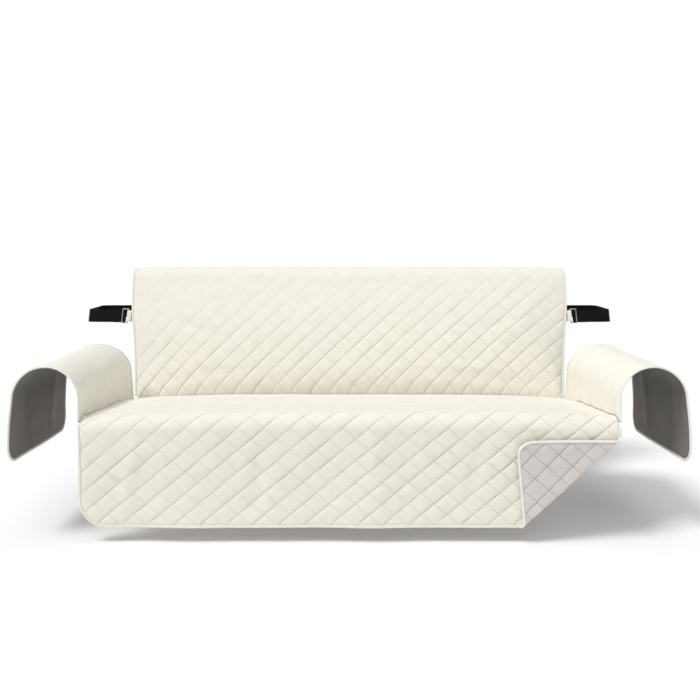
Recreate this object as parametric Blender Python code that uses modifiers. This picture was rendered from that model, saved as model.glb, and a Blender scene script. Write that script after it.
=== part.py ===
"""Fitted sofa slipcover, as its cut and sewn pieces of cloth in the shape in which they drape.

Metres, with X to the right, Y to the back and Z up. The sizes below count heights from the base
of the seat that the cover fits and depths from the front of its arms. `place` moves every point
into the part's own frame: its origin is under the top of the back cloth, in the middle, where
the backrest carries the cover.

Each panel is first a flat cut, with u across it and v along it. Its mesh is a flat grid, and a
function gives the draped place of each flat point. Solidify then gives the cloth its thickness,
which is least along the stitching and most in the middle of each quilted diamond.
"""

import math

import bmesh
import bpy
import numpy as np
from mathutils import Vector

HOLD_Y, HOLD_Z = 0.832, 0.814  # where the backrest carries the cover

# Cloth
STITCHED = 0.0016  # thickness along a stitch line and at an edge
PUFFED = 0.0062  # thickness in the middle of a diamond
PLAIN = 0.0028  # thickness of the unquilted arm cloth
BINDING_RADIUS = 0.0035
BINDING_OFF = 0.0045  # from a panel's edge to the middle of its binding
CORNER_CUTS = 4  # straight cuts that round off a corner

# Side view of the seat cloth: depth, height at the sides, rise in the middle, corner radius
SEAT_LINE = (
    (0.004, 0.055, 0.000, 0.000),  # hem of the skirt
    (-0.012, 0.386, 0.016, 0.042),  # front edge of the seat
    (0.420, 0.345, 0.024, 0.250),
    (0.600, 0.306, 0.025, 0.000),  # crease at the backrest
)
SEAT_COLUMNS, SEAT_ROWS = 41, 28  # half diamonds across and along
SEAT_FIRST = 1  # half diamonds from the left corner of the hem to its first stitch crossing
SEAT_HALF = 0.8315
SKIRT_HALF = 0.8245
SKIRT_DROP = 0.325  # flat length from the hem to the bend of the seat's front edge
SKIRT_CORNERS = (0.080, 0.042)  # radius of the left corner and of the right one
SKIRT_RIPPLE = 0.004
TUCK_DEPTH, TUCK_REACH = 0.010, 0.035  # seat and back dip into the crease between them

# The turned-up corner of the skirt
FOLD_HEM, FOLD_SIDE = 0.302, 0.278  # from the corner to the fold's ends, along hem and side
FOLD_RADIUS = 0.0065
FOLD_STEPS = 3  # straight steps round the bend
FOLD_LEAN = 0.28  # how far the turned cloth slides along the fold, for each unit past it
FOLD_SPREAD = 1.08  # this corner is cut a little longer than a square one
FOLD_LIFT = 0.012  # how much further the tip stands off the skirt

# Side view of the back cloth: depth, height at the sides, rise in the middle, corner radius
BACK_LINE = (
    (0.6030, 0.3080, 0.025, 0.000),  # crease at the seat
    (0.7690, 0.8120, 0.006, 0.048),  # front edge of the top
    (0.8920, 0.8120, 0.006, 0.045),  # rear edge of the top
    (0.8960, 0.5700, 0.000, 0.000),  # hem behind
)
BACK_COLUMNS, BACK_ROWS = 45, 24
BACK_FIRST = 0
BACK_WIDTHS = ((0.0, 0.8250), (0.268, 0.8500), (0.385, 0.8660), (0.62, 0.8790), (1.0, 0.8750))
BACK_CORNER = 0.060
BACK_BULGE = 0.050
BACK_ROUND = 0.110  # the backrest's cushion rounds off to the crease over this much of the cut
BACK_FRONT_SHARE = 0.60  # share of the cut that lies on the front of the backrest

# Arm cloth, seen from the front
ARM_IN, ARM_OUT, ARM_TOP, ARM_HEM = 0.834, 1.040, 0.5435, 0.247
ARM_FRONT = 0.004
ARM_COLUMNS, ARM_ROWS = 16, 16
# Width of the cut from front to back, at shares of the way from the seam to the hem
ARM_CUTS = ((0.0, 0.584), (0.12, 0.574), (0.25, 0.531), (0.38, 0.486), (0.50, 0.458), (1.0, 0.448))
ARM_CORNER = 0.050
ARM_BULGE = 0.008  # how far the hanging flap swings out
ARM_WAVE = 0.004
PUCKER_DEPTH, PUCKER_PITCH, PUCKER_REACH = 0.0045, 0.110, 0.045

# Strap, buckles and tabs
STRAP_HEIGHT = 0.627
STRAP_TILT = math.atan2(BACK_LINE[1][0] - BACK_LINE[0][0], BACK_LINE[1][1] - BACK_LINE[0][1])
STRAP_FACE_Y = BACK_LINE[0][0] + (STRAP_HEIGHT - BACK_LINE[0][1]) * math.tan(STRAP_TILT)
STRAP_WIDE, STRAP_THICK = 0.050, 0.0015
STRAP_SIDE_X, STRAP_BACK_Y = 1.054, 0.909
STRAP_CORNER = 0.025
BUCKLE_X = 0.887  # inner end of each buckle
BUCKLE_HIGH, BUCKLE_DEEP, BUCKLE_RAIL = 0.060, 0.003, 0.004
BUCKLE_BARS = ((0.0005, 0.0045), (0.0125, 0.0155), (0.0235, 0.0275))  # from and to, outwards
TAB_WIDE = 0.044
# Routes through the buckle: distance outwards from its inner end, and depth behind its middle
STRAP_THREAD = (
    (0.0285, 0.0032), (0.0238, 0.0030), (0.0210, 0.0006), (0.0174, -0.0026), (0.0140, -0.0028),
    (0.0116, -0.0023), (0.0107, 0.0), (0.0116, 0.0023), (0.0140, 0.0028), (0.0175, 0.0034),
    (0.0205, 0.0047), (0.0240, 0.0055), (0.0285, 0.0055), (0.0600, 0.0055),
)
TAB_THREAD = (
    (-0.0400, 0.0062), (-0.0070, 0.0062), (-0.0005, 0.0036), (0.0030, 0.0027), (0.0054, 0.0022),
    (0.0064, 0.0), (0.0054, -0.0022), (0.0030, -0.0027), (-0.0030, -0.0026), (-0.0095, -0.0014),
)

CROWN_POWER = 6  # how flat the middle is before the cloth falls to its sides

COLORS = {
    "cream_microfibre": ((0.85, 0.82, 0.73), 0.85, 0.0),
    "cream_binding": ((0.80, 0.76, 0.66), 0.75, 0.0),
    "black_elastic": ((0.012, 0.010, 0.011), 0.80, 0.0),
    "nickel_steel": ((0.66, 0.65, 0.63), 0.30, 1.0),
}


def place(x, y, z):
    """A point of the fitted cover in the part's own frame."""
    return Vector((x, y - HOLD_Y, z - HOLD_Z))


def ease(t):
    """A smooth step from 0 to 1."""
    t = min(1.0, max(0.0, t))
    return t * t * (3 - 2 * t)


def through(rows, at):
    """The value at a place on the smooth curve through rows of (place, value)."""
    places, values = (np.array(column) for column in zip(*rows))
    slopes = np.gradient(values, places)
    k = int(np.clip(np.searchsorted(places, at) - 1, 0, len(places) - 2))
    span = places[k + 1] - places[k]
    t = float(np.clip((at - places[k]) / span, 0, 1))
    start, end = span * slopes[k], span * slopes[k + 1]
    bend = t * (1 - t) * (start * (1 - t) - end * t)
    return float(values[k] + (values[k + 1] - values[k]) * ease(t) + bend)


def unit(vector):
    return vector / np.linalg.norm(vector)


def rounded(rows, steps=12):
    """Points on the line through rows of (a, b, radius), with true arcs at its corners."""
    corners = [np.array(row[:2], float) for row in rows]
    line = [corners[0]]
    for before, corner, after, row in zip(corners, corners[1:], corners[2:], rows[1:]):
        back, ahead = unit(before - corner), unit(after - corner)
        half = math.acos(float(np.clip(back.dot(ahead), -1, 1))) / 2
        centre = corner + unit(back + ahead) * row[2] / math.sin(half)
        reach = row[2] / math.tan(half)
        first, last = corner + back * reach - centre, corner + ahead * reach - centre
        turn = math.pi - 2 * half
        for step in range(steps + 1):
            t = step / steps
            spoke = math.sin((1 - t) * turn) * first + math.sin(t * turn) * last
            line.append(centre + spoke / math.sin(turn))
    line.append(corners[-1])
    return np.array(line)


def length_of(line):
    return float(np.linalg.norm(np.diff(line, axis=0), axis=1).sum())


def along(line, share):
    """The point at a share of a line's length. It runs straight on past either end."""
    steps = np.linalg.norm(np.diff(line, axis=0), axis=1)
    run = np.concatenate([[0], np.cumsum(steps)])
    at = share * run[-1]
    inside = float(np.clip(at, 0, run[-1]))
    point = np.array([np.interp(inside, run, line[:, axis]) for axis in range(2)])
    end = unit(line[1] - line[0]) if at < 0 else unit(line[-1] - line[-2])
    return point + end * (at - inside)


def side_line(rows, across):
    """A side view's line at a place across the cover, 0 in the middle and 1 at the sides."""
    full = max(0.0, 1 - abs(across) ** CROWN_POWER)
    return rounded([(y, z + rise * full, radius) for y, z, rise, radius in rows])


SEAT_LENGTH = length_of(side_line(SEAT_LINE, 0))
BACK_LENGTH = length_of(side_line(BACK_LINE, 0))
BACK_HALF = max(half for share, half in BACK_WIDTHS)
SEAT_SIDE = side_line(SEAT_LINE, 1)[1:]  # from the bend of the front edge to the crease


ALONG_FOLD = unit(np.array((FOLD_HEM, FOLD_SIDE)))
PAST_FOLD = unit(np.array((FOLD_SIDE, -FOLD_HEM)))
FOLD_START = np.array((SEAT_HALF - FOLD_HEM, 0))


def turned(u, v):
    """Where the skirt's flat point goes once the corner is folded, and how far it stands off."""
    run = float((np.array((u, v)) - FOLD_START).dot(ALONG_FOLD))
    past = float((np.array((u, v)) - FOLD_START).dot(PAST_FOLD))
    bend = math.pi * FOLD_RADIUS
    if past <= 0:
        return u, v, 0.0
    if past < bend:
        off = FOLD_RADIUS * (1 - math.cos(past / FOLD_RADIUS))
        past = FOLD_RADIUS * math.sin(past / FOLD_RADIUS)
    else:
        free = past - bend
        off = 2 * FOLD_RADIUS + FOLD_LIFT * (free / FOLD_HEM) ** 2 * 2
        run -= FOLD_LEAN * free
        past = -free * FOLD_SPREAD
    u, v = FOLD_START + ALONG_FOLD * run + PAST_FOLD * past
    return float(u), float(v), off


def ripple(u):
    """The skirt's slight waves, from -1 to 1 across the cover."""
    return 0.6 * math.sin(u / 0.083 + 0.6) + 0.4 * math.sin(u / 0.047)


def seat_point(u, v):
    """The draped place of the seat cloth's flat point; v runs from the hem to the crease."""
    u, v, off = turned(u, v)
    y, z = along(side_line(SEAT_LINE, u / SEAT_HALF), v / SEAT_LENGTH)
    hang = min(1.0, max(0.0, 1 - v / SKIRT_DROP))
    widen = ease((v - SKIRT_DROP + 0.06) / 0.09)
    x = u * (SKIRT_HALF + (SEAT_HALF - SKIRT_HALF) * widen) / SEAT_HALF
    tuck = TUCK_DEPTH * ease(1 - (SEAT_LENGTH - v) / TUCK_REACH)
    return place(x, y - off - SKIRT_RIPPLE * hang * ripple(u), z - tuck)


def back_point(u, v):
    """The draped place of the back cloth's flat point; v runs from the crease to the rear hem."""
    across, share = u / BACK_HALF, v / BACK_LENGTH
    y, z = along(side_line(BACK_LINE, across), share)
    front = min(1.0, max(0.0, share / BACK_FRONT_SHARE))
    below = 1 - min(1.0, max(0.0, v / BACK_ROUND))
    cushion = math.sqrt(1 - below**2) * (1 - front**2)
    bulge = BACK_BULGE * cushion * max(0.0, 1 - across**CROWN_POWER)
    x = across * through(BACK_WIDTHS, share)
    tuck = TUCK_DEPTH * ease(1 - v / TUCK_REACH)
    return place(x, y - bulge * math.cos(STRAP_TILT), z + bulge * math.sin(STRAP_TILT) - tuck)


def arm_line(y):
    """The arm cloth seen from the front, at a depth: its seam, the rolled arm and its hem."""
    seam = float(np.interp(y, SEAT_SIDE[:, 0], SEAT_SIDE[:, 1]))
    radius = (ARM_OUT - ARM_IN) / 2 - 0.0005
    return rounded(
        [(ARM_IN, seam, 0), (ARM_IN, ARM_TOP, radius), (ARM_OUT, ARM_TOP, radius), (ARM_OUT, ARM_HEM, 0)]
    )


ARM_SPAN = length_of(arm_line(ARM_CUTS[0][1] / 2))


def arm_cut(v):
    """Width of the arm cloth's cut at a distance from the seam."""
    return through(ARM_CUTS, v / ARM_SPAN)


def arm_point(u, v):
    """The draped place of the right arm's flat point; u runs back and v from seam to hem."""
    share = v / ARM_SPAN
    y = ARM_FRONT + u
    x, z = along(arm_line(y), share)
    above = share * ARM_SPAN / PUCKER_REACH
    depth = PUCKER_DEPTH * above * math.exp(1 - above) if above > 0 else 0
    x += depth * max(0.0, math.sin(2 * math.pi * y / PUCKER_PITCH))
    hang = max(0.0, (ARM_TOP - 0.10 - z) / (ARM_TOP - 0.10 - ARM_HEM)) if share > 0.5 else 0.0
    x += ARM_BULGE * math.sin(math.pi * 0.75 * hang) + ARM_WAVE * hang * math.sin(u / 0.09 + 1)
    return place(x, y, z)


def new_material(name):
    color, roughness, metallic = COLORS[name]
    material = bpy.data.materials.new(name)
    material.use_nodes = True
    shader = material.node_tree.nodes["Principled BSDF"]
    shader.inputs["Base Color"].default_value = (*color, 1)
    shader.inputs["Roughness"].default_value = roughness
    shader.inputs["Metallic"].default_value = metallic
    material.diffuse_color = (*color, 1)
    return material


def add_object(name, data, material, collection):
    data.materials.append(material)
    made = bpy.data.objects.new(name, data)
    collection.objects.link(made)
    return made


def thicken(made, thickness, thinnest=1.0, group=""):
    """Give an open sheet its thickness, half on each side."""
    solid = made.modifiers.new("cloth", "SOLIDIFY")
    solid.thickness = thickness
    solid.offset = 0
    solid.vertex_group = group
    solid.thickness_vertex_group = thinnest


def corner_angles(first):
    """Directions of the cuts that round a corner, from a first direction and 90 degrees on."""
    step = 90 / (CORNER_CUTS + 1)
    return [math.radians(first + step * (k + 1)) for k in range(CORNER_CUTS)]


def corner_cuts(u, v, radius, first):
    """Cuts round a corner: (point, outward direction) of each, about the arc's centre (u, v)."""
    cuts = []
    for angle in corner_angles(first):
        outward = Vector((math.cos(angle), math.sin(angle), 0))
        cuts.append((Vector((u, v, 0)) + outward * radius, outward))
    return cuts


def corner_path(u, v, radius, first):
    """Points of the binding round the same corner, at the bends between its straight cuts."""
    half_step = math.radians(45 / (CORNER_CUTS + 1))
    reach = (radius + BINDING_OFF) / math.cos(half_step)
    angles = [math.radians(first)] + corner_angles(first)
    bends = [angle + half_step for angle in angles]
    return [(u + reach * math.cos(angle), v + reach * math.sin(angle)) for angle in bends]


def fold_offsets():
    """Distances past the fold's first line at which the bend changes direction."""
    return [math.pi * FOLD_RADIUS * step / FOLD_STEPS for step in range(FOLD_STEPS + 1)]


def cut_mesh(bm, cuts, keep_both):
    for point, outward in cuts:
        geometry = bm.verts[:] + bm.edges[:] + bm.faces[:]
        bmesh.ops.bisect_plane(
            bm, geom=geometry, dist=0.0002, plane_co=point, plane_no=outward, clear_outer=not keep_both
        )


def flat_grid(columns, rows, left, right, length):
    """A flat grid from left to right in X and from 0 to length in Y."""
    bm = bmesh.new()
    bmesh.ops.create_grid(bm, x_segments=columns, y_segments=rows, size=1)
    for vert in bm.verts:
        vert.co.x = left + (right - left) * (vert.co.x + 1) / 2
        vert.co.y = length * (vert.co.y + 1) / 2
    return bm


def quilt_panel(name, half, length, columns, rows, first, cuts, folds, point, material, collection):
    """A panel quilted in diamonds: each has its four corners on the stitching and one high middle."""
    bm = flat_grid(columns, rows, -half, half, length)
    step_u, step_v = 2 * half / columns, length / rows

    def spot(vert):
        return (vert.co.x + half) / step_u - first, vert.co.y / step_v

    crossings = [vert for vert in bm.verts if round(sum(spot(vert))) % 2 == 0]
    bmesh.ops.connect_verts(bm, verts=crossings)
    cut_mesh(bm, cuts, keep_both=False)
    cut_mesh(bm, folds, keep_both=True)
    bmesh.ops.triangulate(bm, faces=bm.faces[:])
    heights = []
    for vert in bm.verts:
        a, b = spot(vert)
        rising, falling = (a + b) / 2, (a - b) / 2
        height = 2 * min(abs(rising - round(rising)), abs(falling - round(falling)))
        heights.append(0.0 if vert.is_boundary else height)
    for vert in bm.verts:
        vert.co = point(vert.co.x, vert.co.y)
    mesh = bpy.data.meshes.new(name)
    bm.to_mesh(mesh)
    bm.free()
    made = add_object(name, mesh, material, collection)
    group = made.vertex_groups.new(name="puff")
    for index, height in enumerate(heights):
        group.add([index], height, "REPLACE")
    thicken(made, PUFFED, STITCHED / PUFFED, group.name)
    return made


def plain_panel(name, point, flip, material, collection):
    """An unquilted arm panel with the two corners of its hem rounded; flip makes the left one."""
    bm = flat_grid(ARM_COLUMNS, ARM_ROWS, 0, 1, ARM_SPAN)
    for vert in bm.verts:
        vert.co.x *= arm_cut(vert.co.y)
    low, high = ARM_CORNER, arm_cut(ARM_SPAN) - ARM_CORNER
    cuts = corner_cuts(high, ARM_SPAN - ARM_CORNER, ARM_CORNER, 0)
    cuts += corner_cuts(low, ARM_SPAN - ARM_CORNER, ARM_CORNER, 90)
    cut_mesh(bm, cuts, keep_both=False)
    bmesh.ops.triangulate(bm, faces=bm.faces[:])
    for vert in bm.verts:
        vert.co = point(vert.co.x, vert.co.y)
        vert.co.x *= flip
    mesh = bpy.data.meshes.new(name)
    bm.to_mesh(mesh)
    bm.free()
    made = add_object(name, mesh, material, collection)
    thicken(made, PLAIN)
    return made


def tube(name, points, material, collection):
    """A bound edge as a six-sided tube along its points."""
    curve = bpy.data.curves.new(name, "CURVE")
    curve.dimensions = "3D"
    curve.bevel_depth = BINDING_RADIUS
    curve.bevel_resolution = 1
    curve.use_fill_caps = True
    spline = curve.splines.new("POLY")
    spline.points.add(len(points) - 1)
    for knot, point in zip(spline.points, points):
        knot.co = (*point, 1)
    return add_object(name, curve, material, collection)


def thinned(points, slack=0.0002):
    """The points of a line without those that its neighbours' straight line passes."""
    kept = [points[0]]
    start = 0
    for end in range(2, len(points)):
        run = points[end] - points[start]
        between = points[start + 1 : end]
        if any((p - points[start]).cross(run).length / run.length > slack for p in between):
            start = end - 1
            kept.append(points[start])
    return kept + [points[-1]]


def knots(start, end, step, extra=()):
    """The multiples of a step between start and end, with both ends and the extra places."""
    low, high = min(start, end), max(start, end)
    inside = [k * step for k in range(math.ceil(low / step), math.floor(high / step) + 1)]
    places = sorted({round(value, 6) for value in [low, high, *inside, *extra] if low <= value <= high})
    return places if start < end else places[::-1]


def skirt_binding_path():
    """From the left arm down the skirt, along its hem, round the turned corner and up."""
    step_u, step_v = 2 * SEAT_HALF / SEAT_COLUMNS, SEAT_LENGTH / SEAT_ROWS
    edge, top = SEAT_HALF + BINDING_OFF, SKIRT_DROP - 0.008
    left, right = SKIRT_CORNERS
    hem_folds = []
    side_folds = []
    for off in fold_offsets():
        hem_folds.append(FOLD_START[0] + (off + BINDING_OFF * PAST_FOLD[1]) / PAST_FOLD[0])
        side_folds.append((off - (edge - FOLD_START[0]) * PAST_FOLD[0]) / PAST_FOLD[1])
    hem_knots = [value - SEAT_HALF for value in knots(left, 2 * SEAT_HALF - right, step_u)]
    flat = [(-edge, v) for v in knots(top, left, step_v)]
    flat += corner_path(left - SEAT_HALF, left, left, 180)
    flat += [(u, -BINDING_OFF) for u in sorted(hem_knots + hem_folds)]
    flat += corner_path(SEAT_HALF - right, right, right, 270)
    flat += [(edge, v) for v in knots(right, top, step_v, side_folds)]
    return thinned([seat_point(u, v) for u, v in flat])


def back_binding_path():
    """From the left end of the crease up, over the top, along the rear hem and back down."""
    step_u, step_v = 2 * BACK_HALF / BACK_COLUMNS, BACK_LENGTH / BACK_ROWS
    edge, radius, bottom = BACK_HALF + BINDING_OFF, BACK_CORNER, 0.016
    inner, end = BACK_HALF - radius, BACK_LENGTH - radius
    flat = [(edge, v) for v in knots(bottom, end, step_v)]
    flat += corner_path(inner, end, radius, 0)
    flat += [(u - BACK_HALF, BACK_LENGTH + BINDING_OFF) for u in knots(BACK_HALF + inner, radius, step_u)]
    flat += corner_path(-inner, end, radius, 90)
    flat += [(-edge, v) for v in knots(end, bottom, step_v)]
    return thinned([back_point(u, v) for u, v in flat])


def arm_binding_path(flip):
    """From the seam up the arm's front edge, over it, along the hem and back by the rear edge."""
    hem_cut = arm_cut(ARM_SPAN)
    step_u, step_v = hem_cut / ARM_COLUMNS, ARM_SPAN / ARM_ROWS
    radius, bottom, end = ARM_CORNER, 0.007, ARM_SPAN - ARM_CORNER
    flat = [(-BINDING_OFF, v) for v in knots(bottom, end, step_v)]
    flat += corner_path(radius, end, radius, 90)[::-1]
    flat += [(u, ARM_SPAN + BINDING_OFF) for u in knots(radius, hem_cut - radius, step_u)]
    flat += corner_path(hem_cut - radius, end, radius, 0)[::-1]
    for v in knots(end, bottom, step_v):
        slant = (arm_cut(v + step_v / 4) - arm_cut(v - step_v / 4)) / (step_v / 2)
        square = BINDING_OFF / math.hypot(1, slant)
        flat.append((arm_cut(v) + square, v - slant * square))
    points = [arm_point(u, v) for u, v in flat]
    return thinned([Vector((flip * p.x, p.y, p.z)) for p in points])


def on_buckle(outwards, behind, flip):
    """A point of the buckle's level plane: outwards from its inner end and behind its middle."""
    y = STRAP_FACE_Y + behind * math.cos(STRAP_TILT)
    z = STRAP_HEIGHT - behind * math.sin(STRAP_TILT)
    return place(flip * (BUCKLE_X + outwards), y, z)


def tilted_up(share=1.0):
    """The direction up the strap's width: along the backrest at 1 and upright at 0."""
    tilt = STRAP_TILT * share
    return Vector((0, math.sin(tilt), math.cos(tilt)))


def ribbon(name, path, wide, thick, material, collection):
    """A flat strap along a path of (point, direction up its width)."""
    bm = bmesh.new()
    bmesh.ops.create_grid(bm, x_segments=len(path) - 1, y_segments=1, size=1)
    for vert in bm.verts:
        point, up = path[round((vert.co.x + 1) / 2 * (len(path) - 1))]
        vert.co = point + up * vert.co.y * wide / 2
    mesh = bpy.data.meshes.new(name)
    bm.to_mesh(mesh)
    bm.free()
    made = add_object(name, mesh, material, collection)
    thicken(made, thick)
    return made


def strap_half(flip):
    """Half of the strap, from the middle of the back round the side and through its buckle."""
    start = STRAP_THREAD[0]
    face = STRAP_FACE_Y + start[1] * math.cos(STRAP_TILT)
    line = rounded(
        [
            (0, STRAP_BACK_Y, 0),
            (STRAP_SIDE_X, STRAP_BACK_Y, STRAP_CORNER),
            (STRAP_SIDE_X, face, STRAP_CORNER),
            (BUCKLE_X + start[0], face, 0),
        ],
        steps=4,
    )
    path = []
    for x, y in line[:-1]:
        share = (STRAP_BACK_Y - y) / (STRAP_BACK_Y - face)
        path.append((place(flip * x, y, STRAP_HEIGHT), tilted_up(share)))
    return path + [(on_buckle(s, t, flip), tilted_up()) for s, t in STRAP_THREAD]


def box(bm, low, high):
    """Add a box from its lowest to its highest corner."""
    made = bmesh.ops.create_cube(bm, size=1)["verts"]
    for vert in made:
        for axis in range(3):
            vert.co[axis] = low[axis] if vert.co[axis] < 0 else high[axis]


def add_buckle(name, flip, material, collection, cutters):
    """A flat slider of three bars: a plate with two windows cut through it."""
    long = BUCKLE_BARS[-1][1]
    plate = bmesh.new()
    box(plate, (0.0, -BUCKLE_DEEP / 2, -BUCKLE_HIGH / 2), (long, BUCKLE_DEEP / 2, BUCKLE_HIGH / 2))
    mesh = bpy.data.meshes.new(name)
    plate.to_mesh(mesh)
    plate.free()
    buckle = add_object(name, mesh, material, collection)
    high = BUCKLE_HIGH / 2 - BUCKLE_RAIL
    windows = bmesh.new()
    for (_, start), (end, _) in zip(BUCKLE_BARS, BUCKLE_BARS[1:]):
        box(windows, (start, -BUCKLE_DEEP, -high), (end, BUCKLE_DEEP, high))
    mesh = bpy.data.meshes.new(name + "_windows")
    windows.to_mesh(mesh)
    windows.free()
    cutter = add_object(name + "_windows", mesh, material, cutters)
    cutter.hide_render = True
    cutter.display_type = "WIRE"
    cut = buckle.modifiers.new("windows", "BOOLEAN")
    cut.operation = "DIFFERENCE"
    cut.object = cutter
    edges = buckle.modifiers.new("edges", "BEVEL")
    edges.width = 0.0006
    edges.segments = 1
    for made in (buckle, cutter):
        made.location = on_buckle(0.0, 0.0, flip)
        made.rotation_euler = (-STRAP_TILT, 0, 0 if flip > 0 else math.pi)
        if flip < 0:
            made.rotation_euler.x = STRAP_TILT
    return buckle


def main():
    for old in list(bpy.data.objects):
        bpy.data.objects.remove(old, do_unlink=True)
    parts = bpy.data.collections.new("sofa_slipcover")
    cutters = bpy.data.collections.new("cutters")
    for collection in (parts, cutters):
        bpy.context.scene.collection.children.link(collection)
    cloth, binding, elastic, steel = (new_material(name) for name in COLORS)

    left, right = SKIRT_CORNERS
    seat_cuts = corner_cuts(left - SEAT_HALF, left, left, 180)
    seat_cuts += corner_cuts(SEAT_HALF - right, right, right, 270)
    past_fold = Vector((*PAST_FOLD, 0))
    fold_start = Vector((*FOLD_START, 0))
    folds = [(fold_start + past_fold * off, past_fold) for off in fold_offsets()]
    quilt_panel(
        "seat_panel", SEAT_HALF, SEAT_LENGTH, SEAT_COLUMNS, SEAT_ROWS, SEAT_FIRST,
        seat_cuts, folds, seat_point, cloth, parts,
    )

    rear_u, rear_v = BACK_HALF - BACK_CORNER, BACK_LENGTH - BACK_CORNER
    back_cuts = corner_cuts(rear_u, rear_v, BACK_CORNER, 0)
    back_cuts += corner_cuts(-rear_u, rear_v, BACK_CORNER, 90)
    quilt_panel(
        "back_panel", BACK_HALF, BACK_LENGTH, BACK_COLUMNS, BACK_ROWS, BACK_FIRST,
        back_cuts, [], back_point, cloth, parts,
    )

    tube("skirt_binding", skirt_binding_path(), binding, parts)
    tube("back_binding", back_binding_path(), binding, parts)
    for side, flip in (("left", -1), ("right", 1)):
        plain_panel("arm_panel_" + side, arm_point, flip, cloth, parts)
        tube("arm_binding_" + side, arm_binding_path(flip), binding, parts)
        add_buckle("buckle_" + side, flip, steel, parts, cutters)
        tab = [(on_buckle(s, t, flip), tilted_up()) for s, t in TAB_THREAD]
        ribbon("strap_tab_" + side, tab, TAB_WIDE, STRAP_THICK, binding, parts)
    strap = strap_half(-1)[::-1] + strap_half(1)[1:]
    ribbon("strap", strap, STRAP_WIDE, STRAP_THICK, elastic, parts)


main()
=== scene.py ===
# %% [markdown]
# # A quilted slipcover for a three-seat sofa
#
# The real thing is cut from cream microfibre, quilted in diamonds over a thin wadding, with a pale
# grey lining. One quilted piece hangs over the top of the backrest. A second one covers the seat and
# hangs down in front as a skirt, whose right corner is turned up. Two plain pieces lie over the arms.
# Tape binds the outer edges, and an elastic strap with two metal sliders pulls the back piece tight.
#
# The model already has a plain solid for each piece. This script dresses each solid with a finer
# sheet that lies in the same place, so it uses the same measured sizes and the same drape.

import functools
import math

import bmesh
import bpy
import numpy as np
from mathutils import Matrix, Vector, noise


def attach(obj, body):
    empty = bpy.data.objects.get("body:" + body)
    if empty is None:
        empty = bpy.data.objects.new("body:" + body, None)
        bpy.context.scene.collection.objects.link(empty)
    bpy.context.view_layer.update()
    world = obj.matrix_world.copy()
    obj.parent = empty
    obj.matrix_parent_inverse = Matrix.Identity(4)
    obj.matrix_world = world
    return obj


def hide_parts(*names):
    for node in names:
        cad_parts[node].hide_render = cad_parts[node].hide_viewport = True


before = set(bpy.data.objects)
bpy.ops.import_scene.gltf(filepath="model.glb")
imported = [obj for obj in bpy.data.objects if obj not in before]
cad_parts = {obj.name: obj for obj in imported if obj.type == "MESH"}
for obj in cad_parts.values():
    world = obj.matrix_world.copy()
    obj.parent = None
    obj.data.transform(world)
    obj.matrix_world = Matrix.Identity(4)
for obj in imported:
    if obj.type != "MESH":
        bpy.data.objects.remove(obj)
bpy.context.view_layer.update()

# %% [markdown]
# ## The camera
#
# The photograph looks straight at the sofa from a little above its seat. Its eye level lies well
# above the middle of the picture while upright lines stay parallel. A camera that tilts down would
# make them lean, so the camera stays level and its lens is shifted down instead.

# %% Camera
PICTURE_PIXELS = 700
FOCAL_PIXELS = 748
EYE_LEVEL_PIXEL, MIDDLE_PIXEL = 238, 349.3  # row of the eye level and column of the sofa's middle
EYE = (0, -3.132, 0.126)

lens = bpy.data.cameras.new("front_camera")
lens.lens = lens.sensor_width * FOCAL_PIXELS / PICTURE_PIXELS
lens.shift_x = (PICTURE_PIXELS / 2 - MIDDLE_PIXEL) / PICTURE_PIXELS
lens.shift_y = (EYE_LEVEL_PIXEL - PICTURE_PIXELS / 2) / PICTURE_PIXELS
camera = bpy.data.objects.new("front_camera", lens)
camera.location = EYE
camera.rotation_euler = (math.radians(90), 0, 0)
bpy.context.scene.collection.objects.link(camera)
bpy.context.scene.camera = camera
print("lens", round(lens.lens, 1), "mm, shifted by", round(lens.shift_y, 3))

# %% [markdown]
# ## Colours and nodes
#
# Colours are easiest to match as the hex values that a picture editor shows. Shaders want linear
# light, so one function turns them over. Another one adds a node, sets it up and links it, which
# keeps each material short enough to read as a recipe.


# %% Helpers for materials
def linear(hex_color):
    """Linear red, green, blue and alpha of an sRGB hex colour."""
    parts = [int(hex_color[k : k + 2], 16) / 255 for k in (1, 3, 5)]
    return (*[p / 12.92 if p <= 0.04045 else ((p + 0.055) / 1.055) ** 2.4 for p in parts], 1)


def add_node(tree, kind, inputs=None, **settings):
    """Add a shader node with its settings. An input is a value, or another node's output."""
    node = tree.nodes.new("ShaderNode" + kind)
    for name, value in settings.items():
        setattr(node, name, value)
    for key, value in (inputs or {}).items():
        if isinstance(value, bpy.types.NodeSocket):
            tree.links.new(value, node.inputs[key])
        else:
            node.inputs[key].default_value = value
    return node


def start_material(name, **sockets):
    """A new material with its shader's even values set on the shader itself."""
    material = bpy.data.materials.new(name)
    material.use_nodes = True
    shader = material.node_tree.nodes["Principled BSDF"]
    for socket, value in sockets.items():
        shader.inputs[socket.replace("_", " ").title().replace("Ior", "IOR")].default_value = value
    return material, material.node_tree, shader


print("white is", linear("#FFFFFF"))

# %% [markdown]
# ## Floor and light
#
# The floor lies where the sofa's base would stand, just under the hem of the skirt. The sky stands
# in for a photo studio. A lit white wall runs low round the back and the sides and makes the
# background white. The rest of the room is dim, so that the cloth in front keeps its shading, and
# brightens only towards a wide soft light that hangs above the front of the sofa.
#
# The main light is a soft sun high on the left, which lights the floor evenly as far as it goes. The
# photograph shows each stitched valley dark above and bright below where it runs up to the right, and
# that is where such a light stands.
#
# Blender's usual tone curve is made for scenes with very bright lights: it squeezes light tones
# together, and near-white cloth on white comes out flat and grey. The standard curve keeps them apart.

# %% Floor
FLOOR_Z = -0.814
FLOOR_REACH = 40

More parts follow.
